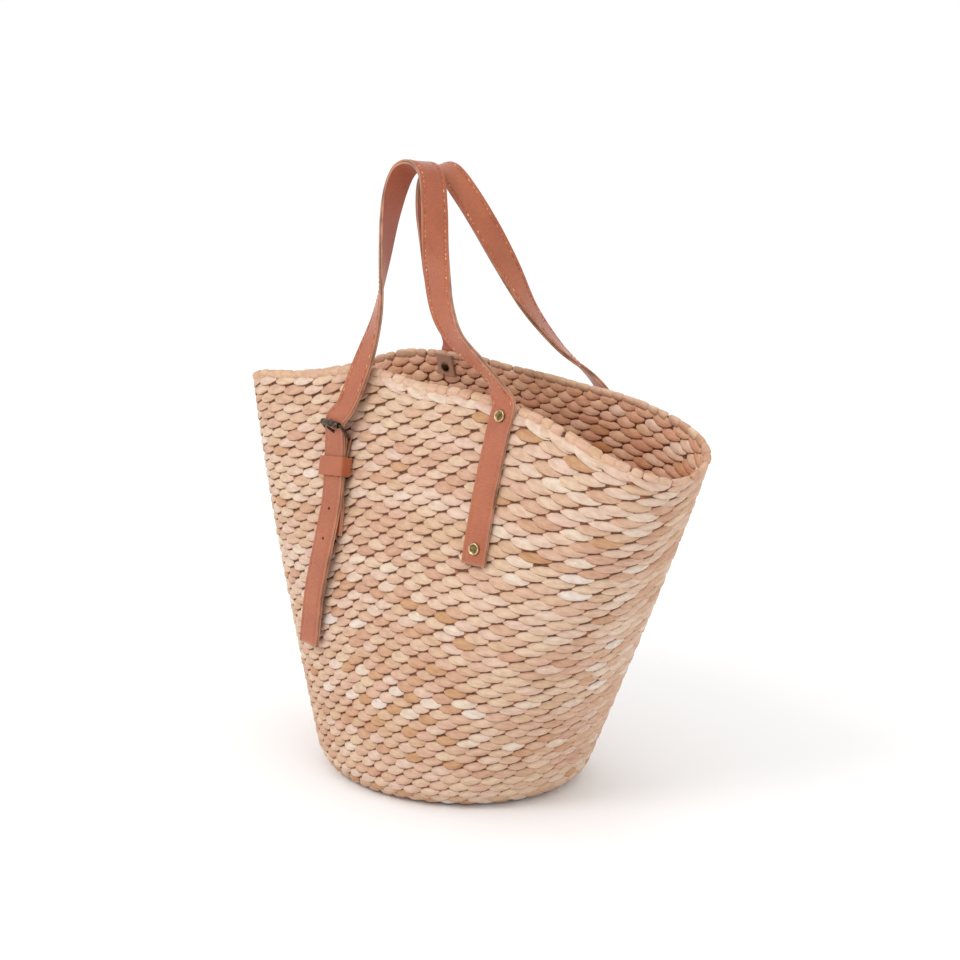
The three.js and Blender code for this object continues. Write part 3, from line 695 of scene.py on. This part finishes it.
def foot_loops(inside):
    plans = []
    rings = int(FLAT_RADIUS / ROW_STEP)
    for ring in range(rings):
        radius = FLAT_RADIUS - (ring + 0.5) * FLAT_RADIUS / rings
        count = max(6, round(2 * math.pi * radius / RING_PITCH))
        angles = (np.arange(count) + 0.5 * (ring % 2)) * 2 * math.pi / count
        plans.append((angles, np.full(count, radius), leaf_tones(count)))
    angles, radii, tones = (np.concatenate(column) for column in zip(*plans))
    half_length = np.full((len(angles), 1), RING_PITCH * LOOP_REACH)
    half_height = np.full((len(angles), 1), ROW_STEP * LOOP_RISE)
    lean = np.full((len(angles), 1), RING_LEAN)
    p, q, d = loop_shape(LENS, half_length, half_height, lean)
    radius = np.maximum(radii[:, None] + q, 0.4 * mm)
    angle = angles[:, None] + p / radii[:, None]
    height = np.clip(d, 0, WALL - 0.4 * mm)
    if inside:
        height = WALL - height
    points = np.stack([radius * np.cos(angle), radius * np.sin(angle), height], -1)
    faces = LENS[1] if inside else [face[::-1] for face in LENS[1]]
    return points, faces, strand_uvs(p, q), tones, tuck_shades_of(LENS)


add_piece("weave_underside", joined_mesh("weave_underside", *foot_loops(False)), straw)
add_piece("weave_floor", joined_mesh("weave_floor", *foot_loops(True)), straw_inside_lightened)

# %% [markdown]
# ## The border
# At the mouth the stakes are folded over and bound with one more strand, which shows as short
# blunt turns side by side, each a little askew over the top edge. They are the same loops with
# blunter ends, wrapped over the edge of the wall.

# %% Bind the mouth
BORDER_TURNS = 88
BORDER_HALF_RISE = 3.9 * mm
BORDER_HALF_DEPTH = 3.25 * mm
BORDER_REACH = 0.57
BORDER_BLUNTNESS = 6


def border_loops():
    along, up, out = (FINE_LENS[0][None, :, axis] for axis in range(3))
    blunt = end_shape(along, BORDER_BLUNTNESS, 2.2)
    shares = (np.arange(BORDER_TURNS) + chance.normal(0, 0.08, BORDER_TURNS)) / BORDER_TURNS
    tones = np.clip(leaf_tones(BORDER_TURNS) * 0.55 + 0.15, 0, 1)
    half_length = girth_rows[-1] / BORDER_TURNS * BORDER_REACH * varied(BORDER_TURNS, 0.12, 0.25)
    p = along * half_length
    rise = BORDER_HALF_RISE * varied(BORDER_TURNS, 0.06, 0.12)
    q = up * blunt * rise
    run = FULL_RUN - BORDER_HALF_RISE + q
    depth = WALL / 2 - out * blunt * BORDER_HALF_DEPTH * (1 - 0.12 * along)
    depth = depth + 0.5 * mm * along * up
    share = shares[:, None] + p / girth_rows[-1]
    points = wall_point(turn_at(share, run), run, depth)
    # The ends of each border turn get the painted shade, where they dive over the edge.
    return points, FINE_LENS[1], strand_uvs(p, q), tones, along[0] ** 4


add_piece("straw_binding", joined_mesh("straw_binding", *border_loops()), straw_border,
          ["rim_border"])

# %% [markdown]
# ## The leather
# The straps are two layers of tan leather, glued and stitched. The face has a fine pebble grain
# and small wrinkles across it, and shines a little. The cut edges are paler, and browner where
# they are handled. The back is smooth, darker and matte.

# %% Mix the leather finishes
def leather_finish(name, face, dark, roughness, grain_depth):
    finish, tree, shader = start_finish(name, roughness)
    place = add_node(tree, "TexCoord").outputs["Object"]
    uv = add_node(tree, "UVMap", uv_map="strap").outputs["UV"]
    edge = add_node(tree, "Attribute", attribute_name="edge").outputs["Fac"]
    cloud = grain(tree, place, 28, 3.0)
    pebble = add_node(tree, "TexVoronoi", {"Vector": place, "Scale": 950}).outputs["Distance"]
    wrinkle = grain(tree, stretched(tree, uv, (1100, 190, 1)), 1.0, 4.0, 0.6)
    colour = ramp(tree, cloud, [(0.32, dark), (0.62, face)])
    # Painted shade: the lows of the wrinkle pattern, which the bump sinks, are darkened in colour as
    # creases.
    colour = blend_colours(tree, 0.35, colour, ramp(tree, wrinkle, [
        (0.35, tuple(0.72 * value for value in dark)), (0.6, face)]))
    raw = ramp(tree, grain(tree, place, 55, 3.0), [
        (0.36, srgb(132, 92, 66)), (0.66, srgb(192, 134, 104))])
    colour = blend_colours(tree, edge, colour, raw)
    tree.links.new(colour, shader.inputs["Base Color"])
    shader.inputs["Specular IOR Level"].default_value = 0.6
    shader.inputs["Sheen Weight"].default_value = 0.25
    shader.inputs["Sheen Roughness"].default_value = 0.4
    shader.inputs["Sheen Tint"].default_value = (1.0, 0.74, 0.74, 1.0)
    height = add_node(tree, "Math", {0: wrinkle, 1: 1.6}, operation="MULTIPLY").outputs[0]
    height = add_node(tree, "Math", {0: height, 1: pebble}, operation="ADD").outputs[0]
    bumped(tree, shader, height, grain_depth, 0.6)
    return finish


tan = leather_finish("tan_leather", srgb(172, 93, 54), srgb(154, 76, 41), 0.32, 0.45 * mm)
lining = leather_finish("lining_leather", srgb(170, 90, 60), srgb(152, 76, 48), 0.5, 0.1 * mm)
flesh = leather_finish("flesh_side", srgb(188, 146, 122), srgb(166, 124, 102), 0.8, 0.25 * mm)


def thread_finish():
    finish, tree, shader = start_finish("thread", 0.7)
    tone = add_node(tree, "Attribute", attribute_name="tone").outputs["Fac"]
    colour = ramp(tree, tone, [
        (0.0, srgb(150, 74, 42)), (0.5, srgb(192, 112, 72)), (1.0, srgb(228, 174, 134))])
    tree.links.new(colour, shader.inputs["Base Color"])
    return finish


thread = thread_finish()
print("leather finishes:", [finish.name for finish in (tan, lining, flesh, thread)])

# %% [markdown]
# ## Reading a strap's path
# A strap bends and twists in the air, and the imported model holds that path. A copy of the node
# is merged, and the four long corners of the strap are walked from one end to the other. Each
# place along them gives a middle, a way across and a way out of the strap.

# %% Walk the corners of a strap
SHARP = math.radians(45)
STRAP_STEP = 2.6 * mm
THICKNESS_LIMIT = 5 * mm


def merged_copy(node):
    bm = bmesh.new()
    bm.from_mesh(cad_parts[node].data)
    bmesh.ops.remove_doubles(bm, verts=bm.verts, dist=0.003 * mm)
    return bm


def corner_chains(node):
    bm = merged_copy(node)
    links = {}
    for edge in bm.edges:
        if edge.is_manifold and edge.calc_face_angle() > SHARP:
            for vert in edge.verts:
                links.setdefault(vert, []).append(edge.other_vert(vert))
    corners = [vert for vert, others in links.items() if len(others) == 3]
    start = min(corners, key=lambda vert: vert.co.z)
    ring = [start]
    while len(ring) < 4:
        ring.append(next(vert for vert in links[ring[-1]] if vert in corners and vert not in ring))
    chains = []
    for vert in ring:
        chain = [vert]
        onward = next(other for other in links[vert] if other not in corners)
        while onward not in corners:
            before = chain[-1]
            chain.append(onward)
            onward = next(other for other in links[onward] if other is not before)
        chain.append(onward)
        chains.append(np.array([link.co[:] for link in chain]))
    bm.free()
    return chains


# %% Turn corners into a smooth path
def sections_of(chains):
    """Middles, ways across and ways out from two long edges of one side and two of the other."""
    upper_left, upper_right, lower_right, lower_left = chains
    middle = (upper_left + upper_right + lower_right + lower_left) / 4
    across = unit(upper_right + lower_right - upper_left - lower_left)
    out = unit(upper_left + upper_right - lower_left - lower_right)
    return np.concatenate([middle, across, out], 1)


def ordered(chains):
    """Turns the ring of corners so that the first two are a strap's width apart."""
    if np.linalg.norm(chains[0][0] - chains[1][0]) < THICKNESS_LIMIT:
        chains = chains[1:] + chains[:1]
    return chains


def smooth_rows(rows, step):
    """A finer list along a smooth line through the rows, and the distance along it."""
    walked = np.concatenate([[0], np.cumsum(np.linalg.norm(np.diff(rows[:, :3], axis=0), axis=1))])
    slope = np.gradient(rows, walked, axis=0)
    fine = np.linspace(0, walked[-1], int(walked[-1] / step) + 1)
    low = np.clip(np.searchsorted(walked, fine, side="right") - 1, 0, len(rows) - 2)
    span = (walked[low + 1] - walked[low])[:, None]
    t = (fine - walked[low])[:, None] / span
    smooth = ((1 + 2 * t) * (1 - t) ** 2 * rows[low] + t * (1 - t) ** 2 * span * slope[low]
              + t ** 2 * (3 - 2 * t) * rows[low + 1] + t ** 2 * (t - 1) * span * slope[low + 1])
    return smooth, fine


def handle_rows(side):
    face = ordered(corner_chains("handle_face_" + side))
    back = ordered(corner_chains("handle_lining_" + side))
    lining_middle = sum(chain[0] for chain in back) / 4
    far = np.linalg.norm((face[0][0] + face[1][0]) / 2 - lining_middle)
    near = np.linalg.norm((face[2][0] + face[3][0]) / 2 - lining_middle)
    if far < near:
        face = face[2:] + face[:2]
    rows = sections_of(face)
    rows[:, 6:] = unit(rows[:, 6:])
    print("handle", side, len(rows), "sections,", round(float(near) / mm, 2), "mm to the lining")
    return smooth_rows(rows, STRAP_STEP)


# %% [markdown]
# ## Straps
# A strap is a grid wrapped round its section: rounded cut edges, and a shallow groove where the
# thread pulls the leather down. The grid's places along and across the strap become its UV map,
# and the cut edge is marked so that the finish can paint it.

# %% Draw the section of a strap
LEATHER = 1.7 * mm
LAYER_GAP = 0.3 * mm
STRAP_WIDTH = 22 * mm
CUT_RADIUS = 0.45 * mm
SEAM_INSET = 2.8 * mm
SEAM_DIP = 0.35 * mm
SEAM_SPREAD = 0.45 * mm


def strap_profile(width, low, high, seam):
    half = width / 2
    flat = half - CUT_RADIUS
    top = np.linspace(flat, -flat, 9)
    if seam:
        near = [side * (half - SEAM_INSET) + step * mm for side in (-1, 1) for step in (-0.6, 0, 0.6)]
        top = np.sort(np.concatenate([top, near]))[::-1]
    reach = (np.abs(top) - half + SEAM_INSET) / SEAM_SPREAD
    dip = SEAM_DIP * np.exp(-reach ** 2) if seam else 0 * top
    points = [(x, high - fall, 0) for x, fall in zip(top, dip)]
    corner = [(math.sin(angle), 1 - math.cos(angle)) for angle in (math.pi / 6, math.pi / 3, math.pi / 2)]
    for sign, first, last in ((-1, high, low), (1, low, high)):
        toward = 1 if last > first else -1
        if sign == 1:
            points += [(x, low, 0) for x in np.linspace(-flat, flat, 5)]
        points += [(sign * (flat + CUT_RADIUS * x), first + toward * CUT_RADIUS * y, 1) for x, y in corner]
        points += [(sign * (flat + CUT_RADIUS * x), last - toward * CUT_RADIUS * y, 1)
                   for x, y in corner[::-1]]
    return np.array(points)


print("places round a strap:", len(strap_profile(STRAP_WIDTH, 0, LEATHER, True)))

# %% Wrap a grid round the path
def strap_mesh(name, rows, walked, profile):
    bm = bmesh.new()
    spans, sides = len(rows) - 1, len(profile)
    bmesh.ops.create_grid(bm, x_segments=spans, y_segments=sides, size=1)
    uv_layer = bm.loops.layers.uv.new("strap")
    edge_layer = bm.verts.layers.float.new("edge")
    places = {}
    for vert in bm.verts:
        i = round((vert.co.x + 1) / 2 * spans)
        j = round((vert.co.y + 1) / 2 * sides) % sides
        places[vert] = (i, j)
    for face in bm.faces:
        for loop in face.loops:
            i, j = places[loop.vert]
            loop[uv_layer].uv = (walked[i], profile[j, 0])
    for vert, (i, j) in places.items():
        x, y, edge = profile[j]
        vert.co = rows[i, :3] + x * rows[i, 3:6] + y * rows[i, 6:]
        vert[edge_layer] = max(edge, 1.0 if i in (0, spans) else 0.0)
    bmesh.ops.remove_doubles(bm, verts=bm.verts, dist=0.001 * mm)
    bmesh.ops.holes_fill(bm, edges=bm.edges, sides=0)
    bmesh.ops.recalc_face_normals(bm, faces=bm.faces)
    return mesh_of(bm, name)


# %% [markdown]
# ## Both handles
# The tail has a row of pricked holes for the buckle's prong. Awls are drawn as thin cylinders
# across the strap and cut out of both layers with a Boolean modifier, whose result is kept.

# %% Read both paths and prick the tails
HANDLES = {side: handle_rows(side) for side in ("front", "back")}
PRICK_DROPS = (28.5 * mm, 57 * mm, 85.5 * mm)
PRICK_RADIUS = 1.3 * mm
TAIL_ROWS = int(170 * mm / STRAP_STEP)
TAIL_SLOPE = 0.96
AWL_LENGTH = 12 * mm


def pricked(piece, side):
    """Cuts the holes of the tail through one leather layer of a handle."""
    rows = HANDLES[side][0][:TAIL_ROWS]
    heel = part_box("buckle_frame_" + side)[0].z
    bm = bmesh.new()
    for drop in PRICK_DROPS:
        spot = rows[np.argmin(np.abs(rows[:, 2] - heel + TAIL_SLOPE * drop))]
        turn = Vector((0, 0, 1)).rotation_difference(Vector(spot[6:])).to_matrix().to_4x4()
        place = Matrix.Translation(Vector(spot[:3])) @ turn
        bmesh.ops.create_cone(bm, cap_ends=True, segments=16, radius1=PRICK_RADIUS,
                              radius2=PRICK_RADIUS, depth=AWL_LENGTH, matrix=place)
    awl = bpy.data.objects.new("awl", mesh_of(bm, "awl"))
    bpy.context.scene.collection.objects.link(awl)
    cutter = piece.modifiers.new("pricks", "BOOLEAN")
    cutter.operation = "DIFFERENCE"
    cutter.solver = "EXACT"
    cutter.object = awl
    graph = bpy.context.evaluated_depsgraph_get()
    cut_mesh = bpy.data.meshes.new_from_object(piece.evaluated_get(graph))
    piece.modifiers.clear()
    piece.data = cut_mesh
    bpy.data.objects.remove(awl)
    print(piece.name, "has", len(PRICK_DROPS), "holes and", len(cut_mesh.polygons), "faces")


# %% Make the layers of both handles
for side, (rows, walked) in HANDLES.items():
    face_profile = strap_profile(STRAP_WIDTH, -LEATHER / 2, LEATHER / 2, True)
    lining_low = -LEATHER / 2 - LAYER_GAP - LEATHER
    lining_profile = strap_profile(STRAP_WIDTH, lining_low, lining_low + LEATHER, False)
    pricked(add_piece("handle_face_leather_" + side,
                      strap_mesh("handle_face", rows, walked, face_profile),
                      tan, ["handle_face_" + side]), side)
    pricked(add_piece("handle_lining_leather_" + side,
                      strap_mesh("handle_lining", rows, walked, lining_profile),
                      lining, ["handle_lining_" + side]), side)

# %% [markdown]
# ## Stitches
# A row of stitches runs near each edge of the handle, from the buckle over the top to the rim.
# One stitch is a small stretched ball, half sunk in its groove, and the row is made of copies.

# %% Sew the handles
STITCH_PITCH = 4.1 * mm
STITCH_HALF_LENGTH = 1.45 * mm
STITCH_RADIUS = 0.44 * mm
STITCH_RISE = 0.3 * mm
STITCH_SLANT = 0.12
SEAM_START = 6 * mm
STITCH = lens_template(6, 6)


def stitch_mesh(side):
    rows, walked = HANDLES[side]
    above = walked[rows[:, 2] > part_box("buckle_roller_" + side)[1].z]
    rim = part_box("rivet_upper_" + side)[1].z
    stretch = walked[rows[:, 2] > rim]
    places = np.arange(above[0] + SEAM_START, stretch[-1], STITCH_PITCH)
    table = np.stack([np.interp(places, walked, rows[:, k]) for k in range(9)], 1)
    ahead = np.stack([np.interp(places + mm, walked, rows[:, k]) for k in range(3)], 1)
    way = unit(ahead - table[:, :3])
    copies = []
    for sign in (-1, 1):
        base = (table[:, :3] + sign * (STRAP_WIDTH / 2 - SEAM_INSET) * table[:, 3:6]
                + (LEATHER / 2 - SEAM_DIP + STITCH_RISE) * table[:, 6:])
        local = STITCH[0] * (STITCH_HALF_LENGTH, STITCH_RADIUS * 1.2, STITCH_RADIUS)
        local = local + np.stack([0 * local[:, 0], STITCH_SLANT * local[:, 0], 0 * local[:, 0]], 1)
        copies.append(base[:, None] + local[None, :, 0:1] * way[:, None]
                      + local[None, :, 1:2] * table[:, None, 3:6]
                      + local[None, :, 2:3] * table[:, None, 6:])
    points = np.concatenate(copies)
    tones = np.clip(chance.normal(0.5, 0.22, len(points)), 0, 1)
    uvs = np.zeros(points.shape[:2] + (2,))
    return joined_mesh("stitches", points, STITCH[1], uvs, tones, tuck_shades_of(STITCH))


for side in HANDLES:
    mesh = stitch_mesh(side)
    bm = bmesh.new()
    bm.from_mesh(mesh)
    bmesh.ops.recalc_face_normals(bm, faces=bm.faces)
    bm.to_mesh(mesh)
    bm.free()
    add_piece("stitches_" + side, mesh, thread)

# %% [markdown]
# ## Anchor straps, keepers and patches
# The anchor strap is a shorter single strap, folded round the buckle's heel bar and riveted at
# its lower end. The keeper is a loop of leather that holds the tail against it, and a patch backs
# each rivet inside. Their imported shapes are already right, so merged copies get softened edges.

# %% Soften the anchor straps, keepers and patches
EDGE_FACING = 0.5


def softened(node, name, radius, cut_way=None, segments=3):
    """A merged copy of a node with its sharp edges rounded, and the cut edges marked."""
    bm = merged_copy(node)
    bmesh.ops.dissolve_limit(bm, angle_limit=math.radians(1), verts=bm.verts, edges=bm.edges)
    sharp = [edge for edge in bm.edges if edge.is_manifold and edge.calc_face_angle() > SHARP]
    bmesh.ops.bevel(bm, geom=sharp, offset=radius, affect="EDGES", segments=segments,
                    profile=0.5, material=-1, clamp_overlap=True)
    edge_layer = bm.faces.layers.float.new("edge")
    bm.normal_update()
    for face in bm.faces:
        face[edge_layer] = float(cut_way is not None and abs(face.normal.dot(cut_way)) > EDGE_FACING)
    return mesh_of(bm, name)


def soft_piece(node, name, radius, finish, cut_way=None, segments=3):
    mesh = softened(node, name, radius, cut_way, segments)
    piece = add_piece(name, mesh, finish, [node])
    shading = piece.modifiers.new("shading", "WEIGHTED_NORMAL")
    shading.keep_sharp = True


for side in HANDLES:
    soft_piece("anchor_strap_" + side, "anchor_leather_" + side, 0.35 * mm, tan,
               Vector((1, 0, 0)))
    soft_piece("keeper_" + side, "keeper_leather_" + side, 0.35 * mm, tan,
               Vector((0, 0, 1)))
    for spot in ("upper", "lower", "anchor"):
        soft_piece(f"inner_patch_{spot}_{side}", f"patch_{spot}_{side}", 0.4 * mm, flesh)

# %% [markdown]
# ## The metal
# Buckles are dark antique bronze, rubbed bright in small patches, and the rivets are antique brass
# with a raised rim. Both are satin, so they take soft highlights from the room.

# %% Mix the metal finishes
def metal_finish(name, dark, bright, roughness):
    finish, tree, shader = start_finish(name, roughness, 1.0)
    place = add_node(tree, "TexCoord").outputs["Object"]
    wear = grain(tree, place, 420, 4.0)
    tree.links.new(ramp(tree, wear, [(0.35, dark), (0.68, bright)]), shader.inputs["Base Color"])
    limits = {"Value": wear, "To Min": roughness + 0.12, "To Max": roughness - 0.1}
    rubbed = add_node(tree, "MapRange", limits).outputs["Result"]
    tree.links.new(rubbed, shader.inputs["Roughness"])
    bumped(tree, shader, wear, 0.05 * mm, 0.5)
    return finish


brass = metal_finish("antique_brass", srgb(84, 68, 42), srgb(150, 124, 82), 0.36)
# The pale brass is a painted highlight for the raised rims of the rivet caps.
rim_highlight_brass = metal_finish("rim_highlight_brass", srgb(150, 132, 96), srgb(214, 196, 156), 0.36)
bronze = metal_finish("dark_bronze", srgb(50, 43, 36), srgb(98, 88, 74), 0.36)
inner_bronze = metal_finish("inner_bronze", srgb(58, 50, 40), srgb(112, 100, 80), 0.32)

# %% [markdown]
# ## Rivets and rollers
# Both are turned parts. A half section is spun about its own axis, which is read from the packed
# node: a rivet's from the middles of its two caps, and a roller's from its longest direction.

# %% Spin a half section
ROUND_STEPS = 36


def spun(name, section, origin, axis, closed=False):
    bm = bmesh.new()
    verts = [bm.verts.new((radius, 0, height)) for radius, height in section]
    edges = [bm.edges.new(pair) for pair in zip(verts, verts[1:])]
    if closed:
        edges.append(bm.edges.new((verts[-1], verts[0])))
    bmesh.ops.spin(bm, geom=verts + edges, cent=(0, 0, 0), axis=(0, 0, 1), angle=2 * math.pi,
                   steps=ROUND_STEPS, use_merge=True)
    bmesh.ops.remove_doubles(bm, verts=bm.verts, dist=0.002 * mm)
    bmesh.ops.recalc_face_normals(bm, faces=bm.faces)
    turn = Vector((0, 0, 1)).rotation_difference(Vector(axis)).to_matrix().to_4x4()
    bmesh.ops.transform(bm, matrix=Matrix.Translation(origin) @ turn, verts=bm.verts)
    return mesh_of(bm, name)


# %% Turn the rivets
CAP = 5 * mm
INNER_CAP = 4.5 * mm
CAP_RISE = 1.5 * mm
SHANK = 1.8 * mm
# Beyond this share of the cap's radius the rim is painted with a highlight.
RIM_HIGHLIGHT_FROM = 0.74
CAP_SECTION = [(0, 0.42), (0.5, 0.45), (0.72, 0.62), (0.8, 0.95), (0.88, 1.0), (0.96, 0.85),
               (1, 0.45), (0.98, 0)]
DOME_SECTION = [(0, 1.0), (0.35, 0.96), (0.62, 0.82), (0.82, 0.58), (0.95, 0.28), (1, 0.08), (0.98, 0)]


def rivet_piece(spot, side):
    node = f"rivet_{spot}_{side}"
    bm = merged_copy(node)
    ends = sorted(bm.verts, key=lambda vert: len(vert.link_edges))[-2:]
    ends = sorted((vert.co.copy() for vert in ends), key=lambda place: abs(place.y))
    bm.free()
    axis = ends[1] - ends[0]
    length = axis.length
    head = [(CAP * x, length - CAP_RISE * (1 - y)) for x, y in CAP_SECTION]
    tail = [(INNER_CAP * x, CAP_RISE * (1 - y)) for x, y in DOME_SECTION[::-1]]
    shank = [(SHANK, length - CAP_RISE), (SHANK, CAP_RISE)]
    mesh = spun("rivet", head + shank + tail, ends[0], axis)
    add_piece("turned_" + node, mesh, brass, [node])
    mesh.materials.append(inner_bronze)
    mesh.materials.append(rim_highlight_brass)
    half_way = (ends[0] + ends[1]) / 2
    # Inner caps take the dark bronze; the outer cap's rim takes the pale brass, a painted highlight.
    for polygon in mesh.polygons:
        reach = polygon.center - half_way
        along = reach.dot(axis) / length
        if along < 0:
            polygon.material_index = 1
        elif (reach - along * axis / length).length > RIM_HIGHLIGHT_FROM * CAP:
            polygon.material_index = 2


# %% Turn the rollers
ROLLER_EDGE = 0.3 * mm


def roller_piece(side):
    node = "buckle_roller_" + side
    bm = merged_copy(node)
    points = np.array([vert.co[:] for vert in bm.verts])
    bm.free()
    middle = points.mean(0)
    axis = np.linalg.svd(points - middle)[2][0]
    along = (points - middle) @ axis
    radius = np.linalg.norm(points - middle - along[:, None] * axis, axis=1)
    half, outer, inner = np.abs(along).max(), radius.max(), radius.min()
    section = [(inner, -half), (outer - ROLLER_EDGE, -half), (outer, ROLLER_EDGE - half),
               (outer, half - ROLLER_EDGE), (outer - ROLLER_EDGE, half), (inner, half)]
    mesh = spun("roller", section, Vector(middle), axis, closed=True)
    add_piece("turned_" + node, mesh, bronze, [node])


for side in HANDLES:
    roller_piece(side)
    for spot in ("upper", "lower", "anchor"):
        rivet_piece(spot, side)

# %% [markdown]
# ## Buckle frames and prongs
# The frame is a bent wire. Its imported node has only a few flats, so a merged copy is swelled a
# little and smoothed by subdivision, which brings it back to a round wire of the same size.

# %% Smooth the wire
WIRE_SWELL = 0.17 * mm


def wire_piece(node, name, swell):
    bm = merged_copy(node)
    bmesh.ops.join_triangles(bm, faces=bm.faces, angle_face_threshold=math.radians(40),
                             angle_shape_threshold=math.radians(40))
    bm.normal_update()
    for vert, normal in [(vert, vert.normal.copy()) for vert in bm.verts]:
        vert.co += swell * normal
    piece = add_piece(name, mesh_of(bm, name), bronze, [node])
    rounding = piece.modifiers.new("rounding", "SUBSURF")
    rounding.levels = rounding.render_levels = 2


for side in HANDLES:
    wire_piece("buckle_frame_" + side, "buckle_wire_" + side, WIRE_SWELL)
    soft_piece("buckle_prong_" + side, "prong_" + side, 0.2 * mm, bronze, segments=2)
